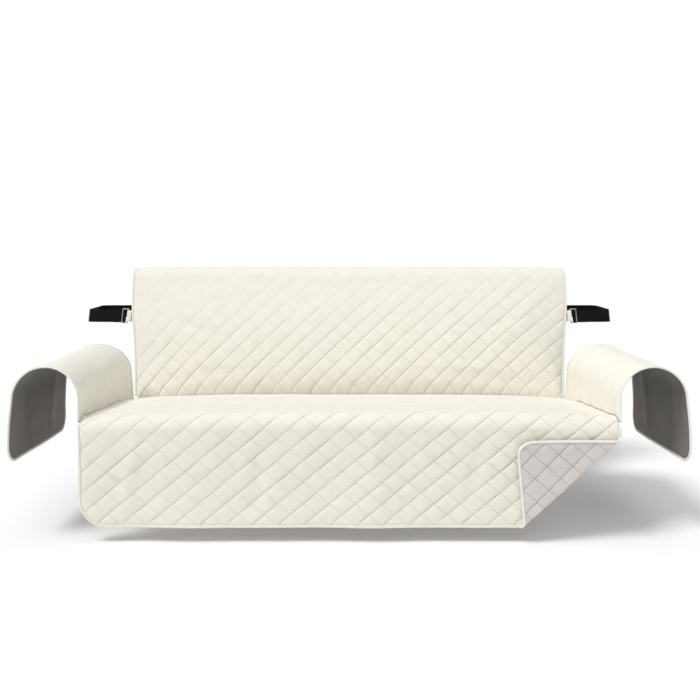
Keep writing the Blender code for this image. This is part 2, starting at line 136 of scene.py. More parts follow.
floor_mesh = bpy.data.meshes.new("studio_floor")
bm = bmesh.new()
bmesh.ops.create_grid(bm, x_segments=1, y_segments=1, size=FLOOR_REACH)
bmesh.ops.translate(bm, vec=(0, 0, FLOOR_Z), verts=bm.verts)
bm.to_mesh(floor_mesh)
bm.free()
floor = bpy.data.objects.new("studio_floor", floor_mesh)
bpy.context.scene.collection.objects.link(floor)
# Matt white paint: it scatters light evenly, so that the floor shows nothing but soft shadow
floor_paint = start_material("matt_white_paint", base_color=linear("#FAFAFA"), roughness=0.9)[0]
floor_mesh.materials.append(floor_paint)
print("floor at", FLOOR_Z)

# %% Light
WALL_STRENGTH, ROOM_STRENGTH, SOFTBOX_STRENGTH = 1.15, 0.25, 1.30
WALL_TOP = (0.30, 0.55)  # sines of the heights between which the white wall fades into the room
WALL_SIDE = (-0.60, -0.10)  # and the same for its sides, from the front round to the rear
SOFTBOX_FROM = (0.0, -0.35, 0.94)  # the way to the soft light above
SOFTBOX_REACH = (0.70, 1.00)  # cosines of the angles from there between which the room brightens
KEY_FROM = Vector((-0.45, -0.30, 0.85))  # the way to the main light
KEY_STRENGTH, KEY_SPREAD = 1.70, 18  # its strength, and how wide it is in the sky, in degrees
KEY_AWAY = 4  # any distance does, because only a sun's direction counts

sky = bpy.data.worlds.new("studio_sky")
sky.use_nodes = True
tree = sky.node_tree
sight = add_node(tree, "TexCoord")
toward = add_node(tree, "SeparateXYZ", {"Vector": sight.outputs["Generated"]})
low = {0: toward.outputs["Z"], 1: WALL_TOP[0], 2: WALL_TOP[1], 3: 1.0, 4: 0.0}
low = add_node(tree, "MapRange", low, interpolation_type="SMOOTHSTEP").outputs[0]
behind = {0: toward.outputs["Y"], 1: WALL_SIDE[0], 2: WALL_SIDE[1], 3: 0.0, 4: 1.0}
behind = add_node(tree, "MapRange", behind, interpolation_type="SMOOTHSTEP").outputs[0]
wall = add_node(tree, "Math", {0: low, 1: behind}, operation="MULTIPLY").outputs[0]
near = {0: sight.outputs["Generated"], 1: SOFTBOX_FROM}
near = add_node(tree, "VectorMath", near, operation="DOT_PRODUCT").outputs["Value"]
above = {0: near, 1: SOFTBOX_REACH[0], 2: SOFTBOX_REACH[1], 3: ROOM_STRENGTH, 4: SOFTBOX_STRENGTH}
above = add_node(tree, "MapRange", above, interpolation_type="SMOOTHSTEP").outputs[0]
strength = add_node(tree, "MapRange", {0: wall, 3: above, 4: WALL_STRENGTH}).outputs[0]
tree.links.new(strength, tree.nodes["Background"].inputs["Strength"])
tree.nodes["Background"].inputs["Color"].default_value = linear("#FFFFFF")
bpy.context.scene.world = sky
bpy.context.scene.view_settings.view_transform = "Standard"

key_light = bpy.data.lights.new("soft_key", "SUN")
key_light.energy = KEY_STRENGTH
key_light.angle = math.radians(KEY_SPREAD)
key = bpy.data.objects.new("soft_key", key_light)
key.location = KEY_FROM * KEY_AWAY
key.rotation_euler = (-KEY_FROM).to_track_quat("-Z", "Y").to_euler()
bpy.context.scene.collection.objects.link(key)
print("key light", round(math.degrees(math.asin(KEY_FROM.z / KEY_FROM.length))), "degrees above the floor")

# %% [markdown]
# ## The drape
#
# Each piece of cloth starts as a flat cut, with u across it and v along it, in metres. A function
# then says where each flat point of the cut lies on the sofa. Cloth keeps its length, so a side
# view of the sofa, drawn as a line with rounded corners, is walked along by the flat distance.
# Heights count from the sofa's base and depths from the front of its arms, and `place` moves them
# into the model's own frame, whose origin is under the top of the back piece.

# %% Places and smooth steps
HOLD_Y, HOLD_Z = 0.832, 0.814
CROWN_POWER = 6  # how flat the middle of the seat and back stays before it falls to the sides


def place(x, y, z):
    """A point of the fitted cover in the model's frame."""
    return Vector((x, y - HOLD_Y, z - HOLD_Z))


def ease(t):
    """A smooth step from 0 to 1."""
    t = min(1.0, max(0.0, t))
    return t * t * (3 - 2 * t)


def through(rows, at):
    """The value at a place on the smooth curve through rows of (place, value)."""
    places, values = (np.array(column) for column in zip(*rows))
    slopes = np.gradient(values, places)
    k = int(np.clip(np.searchsorted(places, at) - 1, 0, len(places) - 2))
    span = places[k + 1] - places[k]
    t = float(np.clip((at - places[k]) / span, 0, 1))
    start, end = span * slopes[k], span * slopes[k + 1]
    bend = t * (1 - t) * (start * (1 - t) - end * t)
    return float(values[k] + (values[k + 1] - values[k]) * ease(t) + bend)


print("half way up a smooth step:", ease(0.5))


# %% Lines with rounded corners
def unit(vector):
    """The vector at length 1."""
    return vector / np.linalg.norm(vector)


def rounded(rows, steps=20):
    """Points on the line through rows of (a, b, radius), with true arcs at its corners."""
    corners = [np.array(row[:2], float) for row in rows]
    line = [corners[0]]
    for before, corner, after, row in zip(corners, corners[1:], corners[2:], rows[1:]):
        back, ahead = unit(before - corner), unit(after - corner)
        half = math.acos(float(np.clip(back.dot(ahead), -1, 1))) / 2
        centre = corner + unit(back + ahead) * row[2] / math.sin(half)
        reach = row[2] / math.tan(half)
        first, last = corner + back * reach - centre, corner + ahead * reach - centre
        turn = math.pi - 2 * half
        for step in range(steps + 1):
            t = step / steps
            spoke = math.sin((1 - t) * turn) * first + math.sin(t * turn) * last
            line.append(centre + spoke / math.sin(turn))
    line.append(corners[-1])
    return np.array(line)


def measured(line):
    """A line with its distance from the start at each of its points."""
    steps = np.linalg.norm(np.diff(line, axis=0), axis=1)
    return line, np.concatenate([[0], np.cumsum(steps)])


def along(line, run, share):
    """The point at a share of a measured line. It runs straight on past either end."""
    at = share * run[-1]
    inside = min(max(at, 0.0), run[-1])
    point = np.array([np.interp(inside, run, line[:, 0]), np.interp(inside, run, line[:, 1])])
    end = unit(line[1] - line[0]) if at < 0 else unit(line[-1] - line[-2])
    return point + end * (at - inside)


@functools.lru_cache(maxsize=None)
def side_line(rows, across):
    """A side view's measured line at a place across the cover, 0 in the middle and 1 at the sides."""
    full = max(0.0, 1 - abs(across) ** CROWN_POWER)
    return measured(rounded([(y, z + rise * full, radius) for y, z, rise, radius in rows]))


# %% [markdown]
# ## The seat and its skirt
#
# The seat piece runs from the hem of the skirt, up over the front edge and back to the crease. At
# the right its corner is folded up along a slanting line, as in the photograph, so that the lining
# shows. The fold is worked out on the flat cut: a point past the line goes round a small bend and
# comes back over the skirt, a little proud of it.

# %% Sizes of the seat piece
# Side view: depth, height at the sides, rise in the middle, corner radius
SEAT_LINE = (
    (0.004, 0.055, 0.000, 0.000),  # hem of the skirt
    (-0.012, 0.386, 0.016, 0.042),  # front edge of the seat
    (0.420, 0.345, 0.024, 0.250),
    (0.600, 0.306, 0.025, 0.000),  # crease at the backrest
)
SEAT_COLUMNS, SEAT_ROWS, SEAT_FIRST = 41, 28, 1  # half diamonds, and where the first crossing is
SEAT_HALF, SKIRT_HALF, SKIRT_DROP = 0.8315, 0.8245, 0.325
SKIRT_CORNERS = (0.080, 0.042)  # radius of the left corner and of the right one
SKIRT_GROWS = (0.060, 0.090)  # it widens to the seat from this far under its edge, over this reach
SKIRT_RIPPLE = 0.004
RIPPLES = ((0.6, 0.083, 0.6), (0.4, 0.047, 0.0))  # share, length over 2 pi and shift of each wave
TUCK_DEPTH, TUCK_REACH = 0.010, 0.035  # seat and back dip into the crease between them
FOLD_HEM, FOLD_SIDE = 0.302, 0.278  # from the corner to the fold's ends, along hem and side
FOLD_RADIUS = 0.0065
FOLD_LIFT = 0.024  # how much further the turned cloth stands off at FOLD_HEM from the fold
FOLD_LEAN, FOLD_SPREAD = 0.28, 1.08  # its slide along the fold and its reach from it, for each metre

ALONG_FOLD = unit(np.array((FOLD_HEM, FOLD_SIDE)))
PAST_FOLD = unit(np.array((FOLD_SIDE, -FOLD_HEM)))
FOLD_START = np.array((SEAT_HALF - FOLD_HEM, 0))
SEAT_LENGTH = float(side_line(SEAT_LINE, 0)[1][-1])
print("seat piece:", 2 * SEAT_HALF, "by", round(SEAT_LENGTH, 3), "m")


# %% Drape of the seat piece
def turned(u, v):
    """Where the skirt's flat point goes once the corner is folded, and how far it stands off."""
    run = float((np.array((u, v)) - FOLD_START).dot(ALONG_FOLD))
    past = float((np.array((u, v)) - FOLD_START).dot(PAST_FOLD))
    bend = math.pi * FOLD_RADIUS
    if past <= 0:
        return u, v, 0.0
    if past < bend:
        off = FOLD_RADIUS * (1 - math.cos(past / FOLD_RADIUS))
        past = FOLD_RADIUS * math.sin(past / FOLD_RADIUS)
    else:
        free = past - bend
        off = 2 * FOLD_RADIUS + FOLD_LIFT * (free / FOLD_HEM) ** 2
        run -= FOLD_LEAN * free
        past = -free * FOLD_SPREAD
    u, v = FOLD_START + ALONG_FOLD * run + PAST_FOLD * past
    return float(u), float(v), off


def ripple(u):
    """The skirt's slight waves, from -1 to 1 across the cover."""
    return sum(share * math.sin(u / length + shift) for share, length, shift in RIPPLES)


def seat_point(u, v):
    """The draped place of the seat piece's flat point; v runs from the hem to the crease."""
    u, v, off = turned(u, v)
    y, z = along(*side_line(SEAT_LINE, round(abs(u / SEAT_HALF), 5)), v / SEAT_LENGTH)
    hang = min(1.0, max(0.0, 1 - v / SKIRT_DROP))
    widen = ease((v - SKIRT_DROP + SKIRT_GROWS[0]) / SKIRT_GROWS[1])
    x = u * (SKIRT_HALF + (SEAT_HALF - SKIRT_HALF) * widen) / SEAT_HALF
    tuck = TUCK_DEPTH * ease(1 - (SEAT_LENGTH - v) / TUCK_REACH)
    return place(x, y - off - SKIRT_RIPPLE * hang * ripple(u), z - tuck)


print("turned corner lies at", [round(c, 3) for c in seat_point(SEAT_HALF, 0)])

# %% [markdown]
# ## The back and the arms
#
# The back piece leans with the backrest, rolls over its top and hangs behind it. It is a little
# wider at the top than in the crease. An arm piece goes up from the seat, over the round arm and
# down outside, where it hangs free.

# %% Sizes of the back piece
# Side view, in the same four columns as the seat's
BACK_LINE = (
    (0.6030, 0.3080, 0.025, 0.000),  # crease at the seat
    (0.7690, 0.8120, 0.006, 0.048),  # front edge of the top
    (0.8920, 0.8120, 0.006, 0.045),  # rear edge of the top
    (0.8960, 0.5700, 0.000, 0.000),  # hem behind
)
BACK_COLUMNS, BACK_ROWS, BACK_FIRST = 45, 24, 0
BACK_WIDTHS = ((0.0, 0.8250), (0.268, 0.8500), (0.385, 0.8660), (0.62, 0.8790), (1.0, 0.8750))
BACK_CORNER = 0.060
BACK_BULGE, BACK_FRONT_SHARE = 0.050, 0.60
BACK_ROUND = 0.110  # the backrest's cushion rounds off to the crease over this much of the cut

BACK_LENGTH = float(side_line(BACK_LINE, 0)[1][-1])
BACK_HALF = max(half for share, half in BACK_WIDTHS)
BACK_TILT = math.atan2(BACK_LINE[1][0] - BACK_LINE[0][0], BACK_LINE[1][1] - BACK_LINE[0][1])
print("back piece:", 2 * BACK_HALF, "by", round(BACK_LENGTH, 3), "m, leaning", round(BACK_TILT, 2))


# %% Drape of the back piece
def back_point(u, v):
    """The draped place of the back piece's flat point; v runs from the crease to the rear hem."""
    across, share = u / BACK_HALF, v / BACK_LENGTH
    y, z = along(*side_line(BACK_LINE, round(abs(across), 5)), share)
    front = min(1.0, max(0.0, share / BACK_FRONT_SHARE))
    below = 1 - min(1.0, max(0.0, v / BACK_ROUND))
    cushion = math.sqrt(1 - below**2) * (1 - front**2)
    bulge = BACK_BULGE * cushion * max(0.0, 1 - across**CROWN_POWER)
    x = across * through(BACK_WIDTHS, share)
    tuck = TUCK_DEPTH * ease(1 - v / TUCK_REACH)
    return place(x, y - bulge * math.cos(BACK_TILT), z + bulge * math.sin(BACK_TILT) - tuck)


# %% Drape of the arm pieces
ARM_IN, ARM_OUT, ARM_TOP, ARM_HEM = 0.834, 1.040, 0.5435, 0.247
ARM_FRONT = 0.004
ARM_ROUND = (ARM_OUT - ARM_IN) / 2 - 0.0005  # a hair under half its width, so that its arcs don't meet
ARM_FREE = ARM_TOP - 0.10  # height from which the flap hangs free
# Width of the cut from front to back, at shares of the way from the seam to the hem
ARM_CUTS = ((0.0, 0.584), (0.12, 0.574), (0.25, 0.531), (0.38, 0.486), (0.50, 0.458), (1.0, 0.448))
ARM_CORNER, ARM_BULGE = 0.050, 0.008
ARM_WAVE, ARM_WAVE_LENGTH = 0.004, 0.090  # height of the hanging flap's waves, and their length over 2 pi
PUCKER_DEPTH, PUCKER_PITCH, PUCKER_REACH = 0.0045, 0.110, 0.045
SEAT_SIDE = side_line(SEAT_LINE, 1)[0][1:]  # from the bend of the front edge to the crease


@functools.lru_cache(maxsize=None)
def arm_line(y):
    """The arm piece seen from the front, at a depth: its seam, the round arm and its hem."""
    seam = float(np.interp(y, SEAT_SIDE[:, 0], SEAT_SIDE[:, 1]))
    corners = [(ARM_IN, seam, 0), (ARM_IN, ARM_TOP, ARM_ROUND), (ARM_OUT, ARM_TOP, ARM_ROUND)]
    return measured(rounded(corners + [(ARM_OUT, ARM_HEM, 0)]))


ARM_SPAN = float(arm_line(ARM_CUTS[0][1] / 2)[1][-1])


def arm_cut(v):
    """Width of the arm piece's cut at a distance from the seam."""
    return through(ARM_CUTS, v / ARM_SPAN)


def arm_point(u, v):
    """The draped place of the right arm's flat point; u runs back and v from seam to hem."""
    share = v / ARM_SPAN
    y = ARM_FRONT + u
    x, z = along(*arm_line(round(y, 5)), share)
    above = share * ARM_SPAN / PUCKER_REACH
    depth = PUCKER_DEPTH * above * math.exp(1 - above) if above > 0 else 0
    x += depth * max(0.0, math.sin(2 * math.pi * y / PUCKER_PITCH))
    hang = max(0.0, (ARM_FREE - z) / (ARM_FREE - ARM_HEM)) if share > 0.5 else 0.0
    x += ARM_BULGE * math.sin(math.pi * 0.75 * hang)  # it swings out and comes part of the way back
    x += ARM_WAVE * hang * math.sin(u / ARM_WAVE_LENGTH + 1)
    return place(x, y, z)


print("arm pieces:", ARM_CUTS[0][1], "by", round(ARM_SPAN, 3), "m")

# %% [markdown]
# ## Microfibre, lining, tape, elastic and nickel
#
# The face is polyester microfibre: woven far finer than a picture can show, then brushed, which
# leaves a matt nap with a faint bloom at its edges and slightly cloudy tone. The quilting thread
# sinks into it in straight rows. Patterns here read the cloth's own flat maps, so they turn with
# the folds: "flat" is the cut in metres, and "diamonds" counts half diamonds.

# %% Brushed microfibre
NAP_PATCH = 0.045  # metres across a cloudy patch of brushed nap
WEAVE_PITCH = 0.0025  # real threads are 0.15 mm apart; drawn coarser so that they show close up
STITCH_LENGTH = 0.0035
STITCH_FADE = (0.2, 0.4)  # shares of half a stitch over which its thread comes up
THREAD_WIDTH = 0.0011
THREAD_FADE = (0.5, 0.9)  # shares of its width, from its middle, over which a thread fades out
HALF_WIDE, HALF_LONG = 2 * SEAT_HALF / SEAT_COLUMNS, SEAT_LENGTH / SEAT_ROWS  # a half diamond's size
DIAMOND_SIDE = math.hypot(HALF_WIDE, HALF_LONG)  # from crossing to crossing
DIAMOND_SPAN = 2 * HALF_WIDE * HALF_LONG / DIAMOND_SIDE  # between lines
FALLING_DEPTH = 0.45  # share of the groove, and of the painted shade in it, along rows that fall to the right, the fainter ones
VALLEY_WIDTH, VALLEY_PAINTED_SHADE = 0.0024, 0.22  # reach of the pulled-down nap beside the thread, and the strength of the painted shade laid into that valley


def nap_color(tree, flat, light, dark):
    """A colour that drifts softly between two tones over the brushed cloth."""
    patches = add_node(tree, "TexNoise", {"Vector": flat, "Scale": 1 / NAP_PATCH, "Detail": 3.0})
    tone = add_node(tree, "MapRange", {0: patches.outputs[0], 1: 0.3, 2: 0.7}).outputs[0]
    tones = {"Factor": tone, "A": linear(light), "B": linear(dark)}
    return add_node(tree, "Mix", tones, data_type="RGBA").outputs["Result"]


def stitch_dashes(tree, run, half):
    """The stitches along a row, 1 on each and 0 between them, by half of their pitch."""
    beat = add_node(tree, "Math", {0: run, 1: half}, operation="PINGPONG").outputs[0]
    fade = {0: beat, 1: STITCH_FADE[0] * half, 2: STITCH_FADE[1] * half}
    return add_node(tree, "MapRange", fade).outputs[0]


def thread_rows(tree, diamonds):
    """Masks of the quilting: its stitches of thread, and the narrow valleys that they pull down."""
    split = add_node(tree, "SeparateXYZ", {"Vector": diamonds})
    lines = []
    for operation in ("ADD", "SUBTRACT"):
        both = add_node(tree, "Math", {0: split.outputs["X"], 1: split.outputs["Y"]}, operation=operation)
        lines.append(add_node(tree, "Math", {0: both.outputs[0], 1: 0.5}, operation="MULTIPLY").outputs[0])
    thin, thick = (share * THREAD_WIDTH / DIAMOND_SPAN for share in THREAD_FADE)
    stitches, valleys = [], []
    for line, run, depth in ((*lines, FALLING_DEPTH), (*lines[::-1], 1.0)):
        gap = add_node(tree, "Math", {0: line, 1: 0.5}, operation="PINGPONG").outputs[0]
        dashes = stitch_dashes(tree, run, 0.5 * STITCH_LENGTH / DIAMOND_SIDE)
        thread = add_node(tree, "MapRange", {0: gap, 1: thin, 2: thick, 3: 1.0, 4: 0.0}).outputs[0]
        both = {0: thread, 1: dashes}
        stitches.append(add_node(tree, "Math", both, operation="MULTIPLY").outputs[0])
        reach = {0: gap, 1: 0.0, 2: VALLEY_WIDTH / DIAMOND_SPAN, 3: depth, 4: 0.0}
        valleys.append(add_node(tree, "MapRange", reach, interpolation_type="SMOOTHSTEP").outputs[0])
    return (
        add_node(tree, "Math", {0: pair[0], 1: pair[1]}, operation="MAXIMUM").outputs[0]
        for pair in (stitches, valleys)
    )


def wave_scale(pitch):
    """The scale at which a wave texture's bands lie a pitch apart, in metres."""
    return math.pi / (10 * pitch)


def weave_height(tree, flat):
    """Warp and weft threads crossing, as a height from 0 to 1."""
    threads = []
    for direction in ("X", "Y"):
        wave = {"Vector": flat, "Scale": wave_scale(WEAVE_PITCH), "Distortion": 0.6, "Detail Scale": 1.5}
        threads.append(add_node(tree, "TexWave", wave, bands_direction=direction).outputs["Fac"])
    return add_node(tree, "Math", {0: threads[0], 1: threads[1]}, operation="MULTIPLY").outputs[0]


print("quilting diamonds", round(1000 * DIAMOND_SIDE), "mm along a side")


# %% Build the cloth materials
WEAVE_HEIGHT = 0.00004
THREAD_RISE, GROOVE = 5.0, 45  # height of a thread and depth of the nap's groove, against the weave's height


def cloth_material(name, light, dark, thread=None, **sockets):
    """A woven cloth in two close tones. With a thread colour, its quilting shows in narrow valleys, which
    are darkened towards that colour as painted shade.
    """
    material, tree, shader = start_material(name, **sockets)
    flat = add_node(tree, "UVMap", uv_map="flat").outputs[0]
    color = nap_color(tree, flat, light, dark)
    height = weave_height(tree, flat)
    if thread:
        diamonds = add_node(tree, "UVMap", uv_map="diamonds").outputs[0]
        slack = add_node(tree, "Attribute", attribute_name="slack").outputs["Fac"]
        stitch, valley = (
            add_node(tree, "Math", {0: mask, 1: slack}, operation="MULTIPLY").outputs[0]
            for mask in thread_rows(tree, diamonds)
        )
        # Painted shade: each valley's colour is darkened towards the thread colour, on top of its bump
        shade = add_node(tree, "Math", {0: valley, 1: VALLEY_PAINTED_SHADE}, operation="MULTIPLY").outputs[0]
        valley_shaded = add_node(tree, "Mix", {"Factor": shade, "A": color, "B": linear(thread)}, data_type="RGBA")
        sewn = {"Factor": stitch, "A": valley_shaded.outputs["Result"], "B": linear(thread)}
        color = add_node(tree, "Mix", sewn, data_type="RGBA").outputs["Result"]
        for mask, raised in ((stitch, THREAD_RISE), (valley, -GROOVE)):
            added = {0: mask, 1: raised, 2: height}
            height = add_node(tree, "Math", added, operation="MULTIPLY_ADD").outputs[0]
    tree.links.new(color, shader.inputs["Base Color"])
    bump = add_node(tree, "Bump", {"Height": height, "Strength": 1.0, "Distance": WEAVE_HEIGHT})
    tree.links.new(bump.outputs[0], shader.inputs["Normal"])
    return material


# Brushed polyester microfibre: matt, with a soft bloom where it turns away from the eye
NAP = {"roughness": 0.92, "sheen_weight": 0.1, "sheen_roughness": 0.6}
microfibre = cloth_material("brushed_microfibre", "#F2EFE5", "#EEEADD", "#DFDBCC", **NAP)
plain_microfibre = cloth_material("brushed_microfibre_plain", "#F2EFE5", "#F0EDE2", **NAP)
# Plain-woven polyester lining: cooler, greyer and a little smoother than the brushed face
LINING = {"roughness": 0.75, "sheen_weight": 0.1}
lining = cloth_material("woven_polyester_lining", "#DCD7D3", "#D3CECA", "#A5A19F", **LINING)
# The arms' lining is the same cloth darkened to a dark grey: painted shade, standing for the shadow inside
# their hanging flaps
arm_lining_painted_shade = cloth_material("woven_polyester_lining_painted_shade", "#77736D", "#6E6A65", **LINING)
print("cloths:", microfibre.name, "and", lining.name)

# %% [markdown]
# The binding is a woven twill tape, folded over the edge and sewn down. Twill shows as fine slanting
# ribs, and the sewing as a row of short stitches near its inner edge. The strap is knitted elastic:
# black, with lengthwise ribs. The sliders are steel with a satin nickel plating.

# %% Tape, elastic and nickel
TWILL_PITCH = 0.0024  # real ribs are about 0.6 mm apart; drawn coarser so that they show
TWILL_HEIGHT, RIB_HEIGHT = 0.0003, 0.0006
TAPE_STITCH_RISE = 1.5  # height of the tape's stitches against that of its ribs
ELASTIC_RIBS = 14
STRAP_WIDE, STRAP_THICK = 0.050, 0.0015


def tape_material(name, light, dark, thread, stitch_places):
    """Twill tape with a row of stitches at each of the places across its flat map, in metres."""
    material, tree, shader = start_material(name, roughness=0.85, sheen_weight=0.15, sheen_roughness=0.5)
    flat = add_node(tree, "UVMap", uv_map="flat").outputs[0]
    ribs = {"Vector": flat, "Scale": wave_scale(TWILL_PITCH), "Distortion": 0.3}
    twill = add_node(tree, "TexWave", ribs, bands_direction="DIAGONAL").outputs["Fac"]
    tone = {"Factor": twill, "A": linear(dark), "B": linear(light)}
    color, height = add_node(tree, "Mix", tone, data_type="RGBA").outputs["Result"], twill
    split = add_node(tree, "SeparateXYZ", {"Vector": flat})
    dashes = stitch_dashes(tree, split.outputs["X"], 0.5 * STITCH_LENGTH)
    for at in stitch_places:
        row = {0: split.outputs["Y"], 1: at, 2: THREAD_WIDTH / 2}
        row = add_node(tree, "Math", row, operation="COMPARE").outputs[0]
        row = add_node(tree, "Math", {0: row, 1: dashes}, operation="MULTIPLY").outputs[0]
        sewn = {"Factor": row, "A": color, "B": linear(thread)}
        color = add_node(tree, "Mix", sewn, data_type="RGBA").outputs["Result"]
        raised = {0: row, 1: TAPE_STITCH_RISE, 2: height}
        height = add_node(tree, "Math", raised, operation="MULTIPLY_ADD").outputs[0]
    tree.links.new(color, shader.inputs["Base Color"])
    bump = add_node(tree, "Bump", {"Height": height, "Strength": 0.3, "Distance": TWILL_HEIGHT})
    tree.links.new(bump.outputs[0], shader.inputs["Normal"])
    return material


TAPE_OFF, TAPE_WIDE, TAPE_HIGH = 0.0032, 0.0048, 0.0033  # middle past the edge, and half sizes
TAPE_ROUND = math.pi * (TAPE_WIDE + TAPE_HIGH)  # about the way round the folded tape
# Twill-woven tape: matt, with fine slanting ribs and a row of short stitches
tape_rows = (0.13 * TAPE_ROUND, 0.87 * TAPE_ROUND)  # the sewing shows near both of its long edges
twill_tape = tape_material("cream_twill_tape", "#F3F1E9", "#EBE8DD", "#CFCABB", tape_rows)

# Knitted elastic: dull black yarn, whose lengthwise ribs show as faint stripes
elastic, tree, shader = start_material("black_knitted_elastic", roughness=0.8, specular_ior_level=0.15)
flat = add_node(tree, "UVMap", uv_map="flat").outputs[0]
rib_scale = wave_scale(STRAP_WIDE / ELASTIC_RIBS)
ribs = add_node(tree, "TexWave", {"Vector": flat, "Scale": rib_scale}, bands_direction="Y").outputs["Fac"]
yarn = {"Vector": flat, "Scale": 3 * rib_scale}  # three rows of yarn in the width of a rib
yarn = add_node(tree, "TexWave", yarn, bands_direction="X").outputs["Fac"]
knit = add_node(tree, "Math", {0: yarn, 1: 0.35, 2: ribs}, operation="MULTIPLY_ADD").outputs[0]
tone = {"Factor": ribs, "A": linear("#060505"), "B": linear("#151213")}
tone = add_node(tree, "Mix", tone, data_type="RGBA").outputs["Result"]
tree.links.new(tone, shader.inputs["Base Color"])
bump = add_node(tree, "Bump", {"Height": knit, "Strength": 0.5, "Distance": RIB_HEIGHT})
tree.links.new(bump.outputs[0], shader.inputs["Normal"])

# Satin nickel plating: a soft metal shine, drawn out along fine polishing marks
nickel, tree, shader = start_material("satin_nickel_plating", base_color=linear("#CFCCC6"), metallic=1.0)
MARKS = (900, 900, 60)  # in a metre, so 1.1 mm wide and 17 mm long; real ones are far finer than shows
MARK_HEIGHT = 0.0002
spot = add_node(tree, "TexCoord").outputs["Object"]
stretched = add_node(tree, "Mapping", {"Vector": spot, "Scale": MARKS}).outputs[0]
grain = add_node(tree, "TexNoise", {"Vector": stretched, "Scale": 1.0, "Detail": 2.0}).outputs[0]
rough = add_node(tree, "MapRange", {0: grain, 3: 0.18, 4: 0.34}).outputs[0]
tree.links.new(rough, shader.inputs["Roughness"])
bump = add_node(tree, "Bump", {"Height": grain, "Strength": 0.1, "Distance": MARK_HEIGHT})
tree.links.new(bump.outputs[0], shader.inputs["Normal"])
print("trims:", twill_tape.name, elastic.name, nickel.name)

# %% [markdown]
# ## Filling, creases and uneven cloth
#
# Between its stitched lines the wadding swells each diamond. Two slopes, one from each set of lines,
# are multiplied, which gives a smooth pillow that falls steeply to the thread. On its left half the
# photograph hardly shows the rows that fall to the right, and on its right half it shows both kinds,
# so the filling stays higher along those rows at the left.
#
# Cloth that was pulled over a sofa by hand is never quite even, so a slow noise moves it by a few
# millimetres, and a short table of soft troughs sets the creases that the photograph shows.

# %% Height of the filling
FULLNESS = 5.0  # how steeply a diamond falls to its stitching
STITCHED, PUFFED = 0.0016, 0.0070  # thickness on the thread, and of a quite full diamond
FALLING_SWELL = (0.65, 0.15)  # filling that stays up along rows falling to the right, at either side
FACE_SWELL = 0.0010  # the filling pushes the soft face out further than the firm lining
RUCK_HEIGHT, RUCK_PATCH = 0.0012, 0.030  # small rucks within a diamond
EDGE_FLAT = 0.014  # the filling thins out towards a bound edge over this distance


def puff(a, b, falling=0.0):
    """Height of the filling at a place in half diamonds: 1 in a diamond's middle, 0 on the thread.

    Falling is what stays of it on the rows that fall to the right.
    """
    full = 1.0
    for line, depth in (((a + b) / 2, 1 - falling), ((a - b) / 2, 1.0)):
        full *= 1 - depth * (1 - 2 * abs(line - round(line))) ** FULLNESS
    return full


def creased(u, v, creases):
    """How far soft creases move the cloth out. A row is a crease's two ends, width and height.

    A crease is highest in its middle, and at its ends it still has about a third of that.
    """
    total = 0.0
    for u0, v0, u1, v1, width, height in creases:
        run_u, run_v = u1 - u0, v1 - v0
        t = ((u - u0) * run_u + (v - v0) * run_v) / (run_u**2 + run_v**2)
        if -0.3 < t < 1.3:
            held = min(1.0, max(0.0, t))
            gap = math.hypot(u - u0 - held * run_u, v - v0 - held * run_v) / width
            total += height * math.exp(-gap * gap) * math.sin(math.pi * (held * 0.8 + 0.1))
    return total


def uneven(u, v, seed, height=0.0025, patch=0.16):
    """A slow unevenness of hand-pulled cloth, the same on every run."""
    return height * noise.noise(Vector((u / patch, v / patch, seed)))


print("a quarter of the way across a diamond the filling is at", round(puff(0.5, 0.0), 2))


# %% Trim a flat cut
SNAP = 0.00001  # points as near as this count as one, in metres
CORNER_NEAR = 2.2  # radii from an arc's middle within which faces are trimmed; the tip is at 1.4


def with_borders(faces):
    """Faces together with their edges and points, as a cut wants them."""
    edges = {edge for face in faces for edge in face.edges}
    verts = {vert for face in faces for vert in face.verts}
    return faces + list(edges) + list(verts)


def round_corner(bm, u, v, out_u, out_v, radius, cuts=9):
    """Trim a corner of the cut to an arc about (u, v), by straight cuts that touch the arc."""
    middle = Vector((u, v, 0))
    for k in range(cuts):
        near = [
            face for face in bm.faces
            if (face.calc_center_median() - middle).length < CORNER_NEAR * radius
        ]
        angle = math.radians(90 * (k + 0.5) / cuts)
        outward = Vector((out_u * math.cos(angle), out_v * math.sin(angle), 0))
        bmesh.ops.bisect_plane(
            bm, geom=with_borders(near), dist=SNAP,
            plane_co=middle + outward * radius, plane_no=outward, clear_outer=True,
        )


def from_edge(u, v, half, length, corners):
    """Distance in from the nearest edge of a cut, with rows of (u, v, out_u, out_v, radius)."""
    near = min(half - abs(u), v, length - v)
    for at_u, at_v, out_u, out_v, radius in corners:
        if (u - at_u) * out_u > 0 and (v - at_v) * out_v > 0:
            near = radius - math.hypot(u - at_u, v - at_v)
    return near


print("0.1 m in from the side:", round(from_edge(0.5, 0.3, 0.6, 1.0, ()), 3))

# %% [markdown]
# ## Sewing up a quilted piece
#
# A flat grid with several squares to each half diamond is split along the thread lines, so that a
# valley is a clean line and not a staircase. Its corners are trimmed, its flat place is kept in
# the two maps, and only then is each point laid on the sofa. Solidify gives the sheet its
# thickness, by the height of the filling, and turns its second material to the inside.

# %% Objects, thickness and maps
def finished(name, bm, materials, replaced):
    """An object from a bmesh, riding on the one body. A seam alone stands for no solid."""
    mesh = bpy.data.meshes.new(name)
    bm.to_mesh(mesh)
    bm.free()
    mesh.shade_smooth()
    for material in materials:
        mesh.materials.append(material)
    made = bpy.data.objects.new(name, mesh)
    bpy.context.scene.collection.objects.link(made)
    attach(made, "root")
    if replaced:
        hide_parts(replaced)
    return made


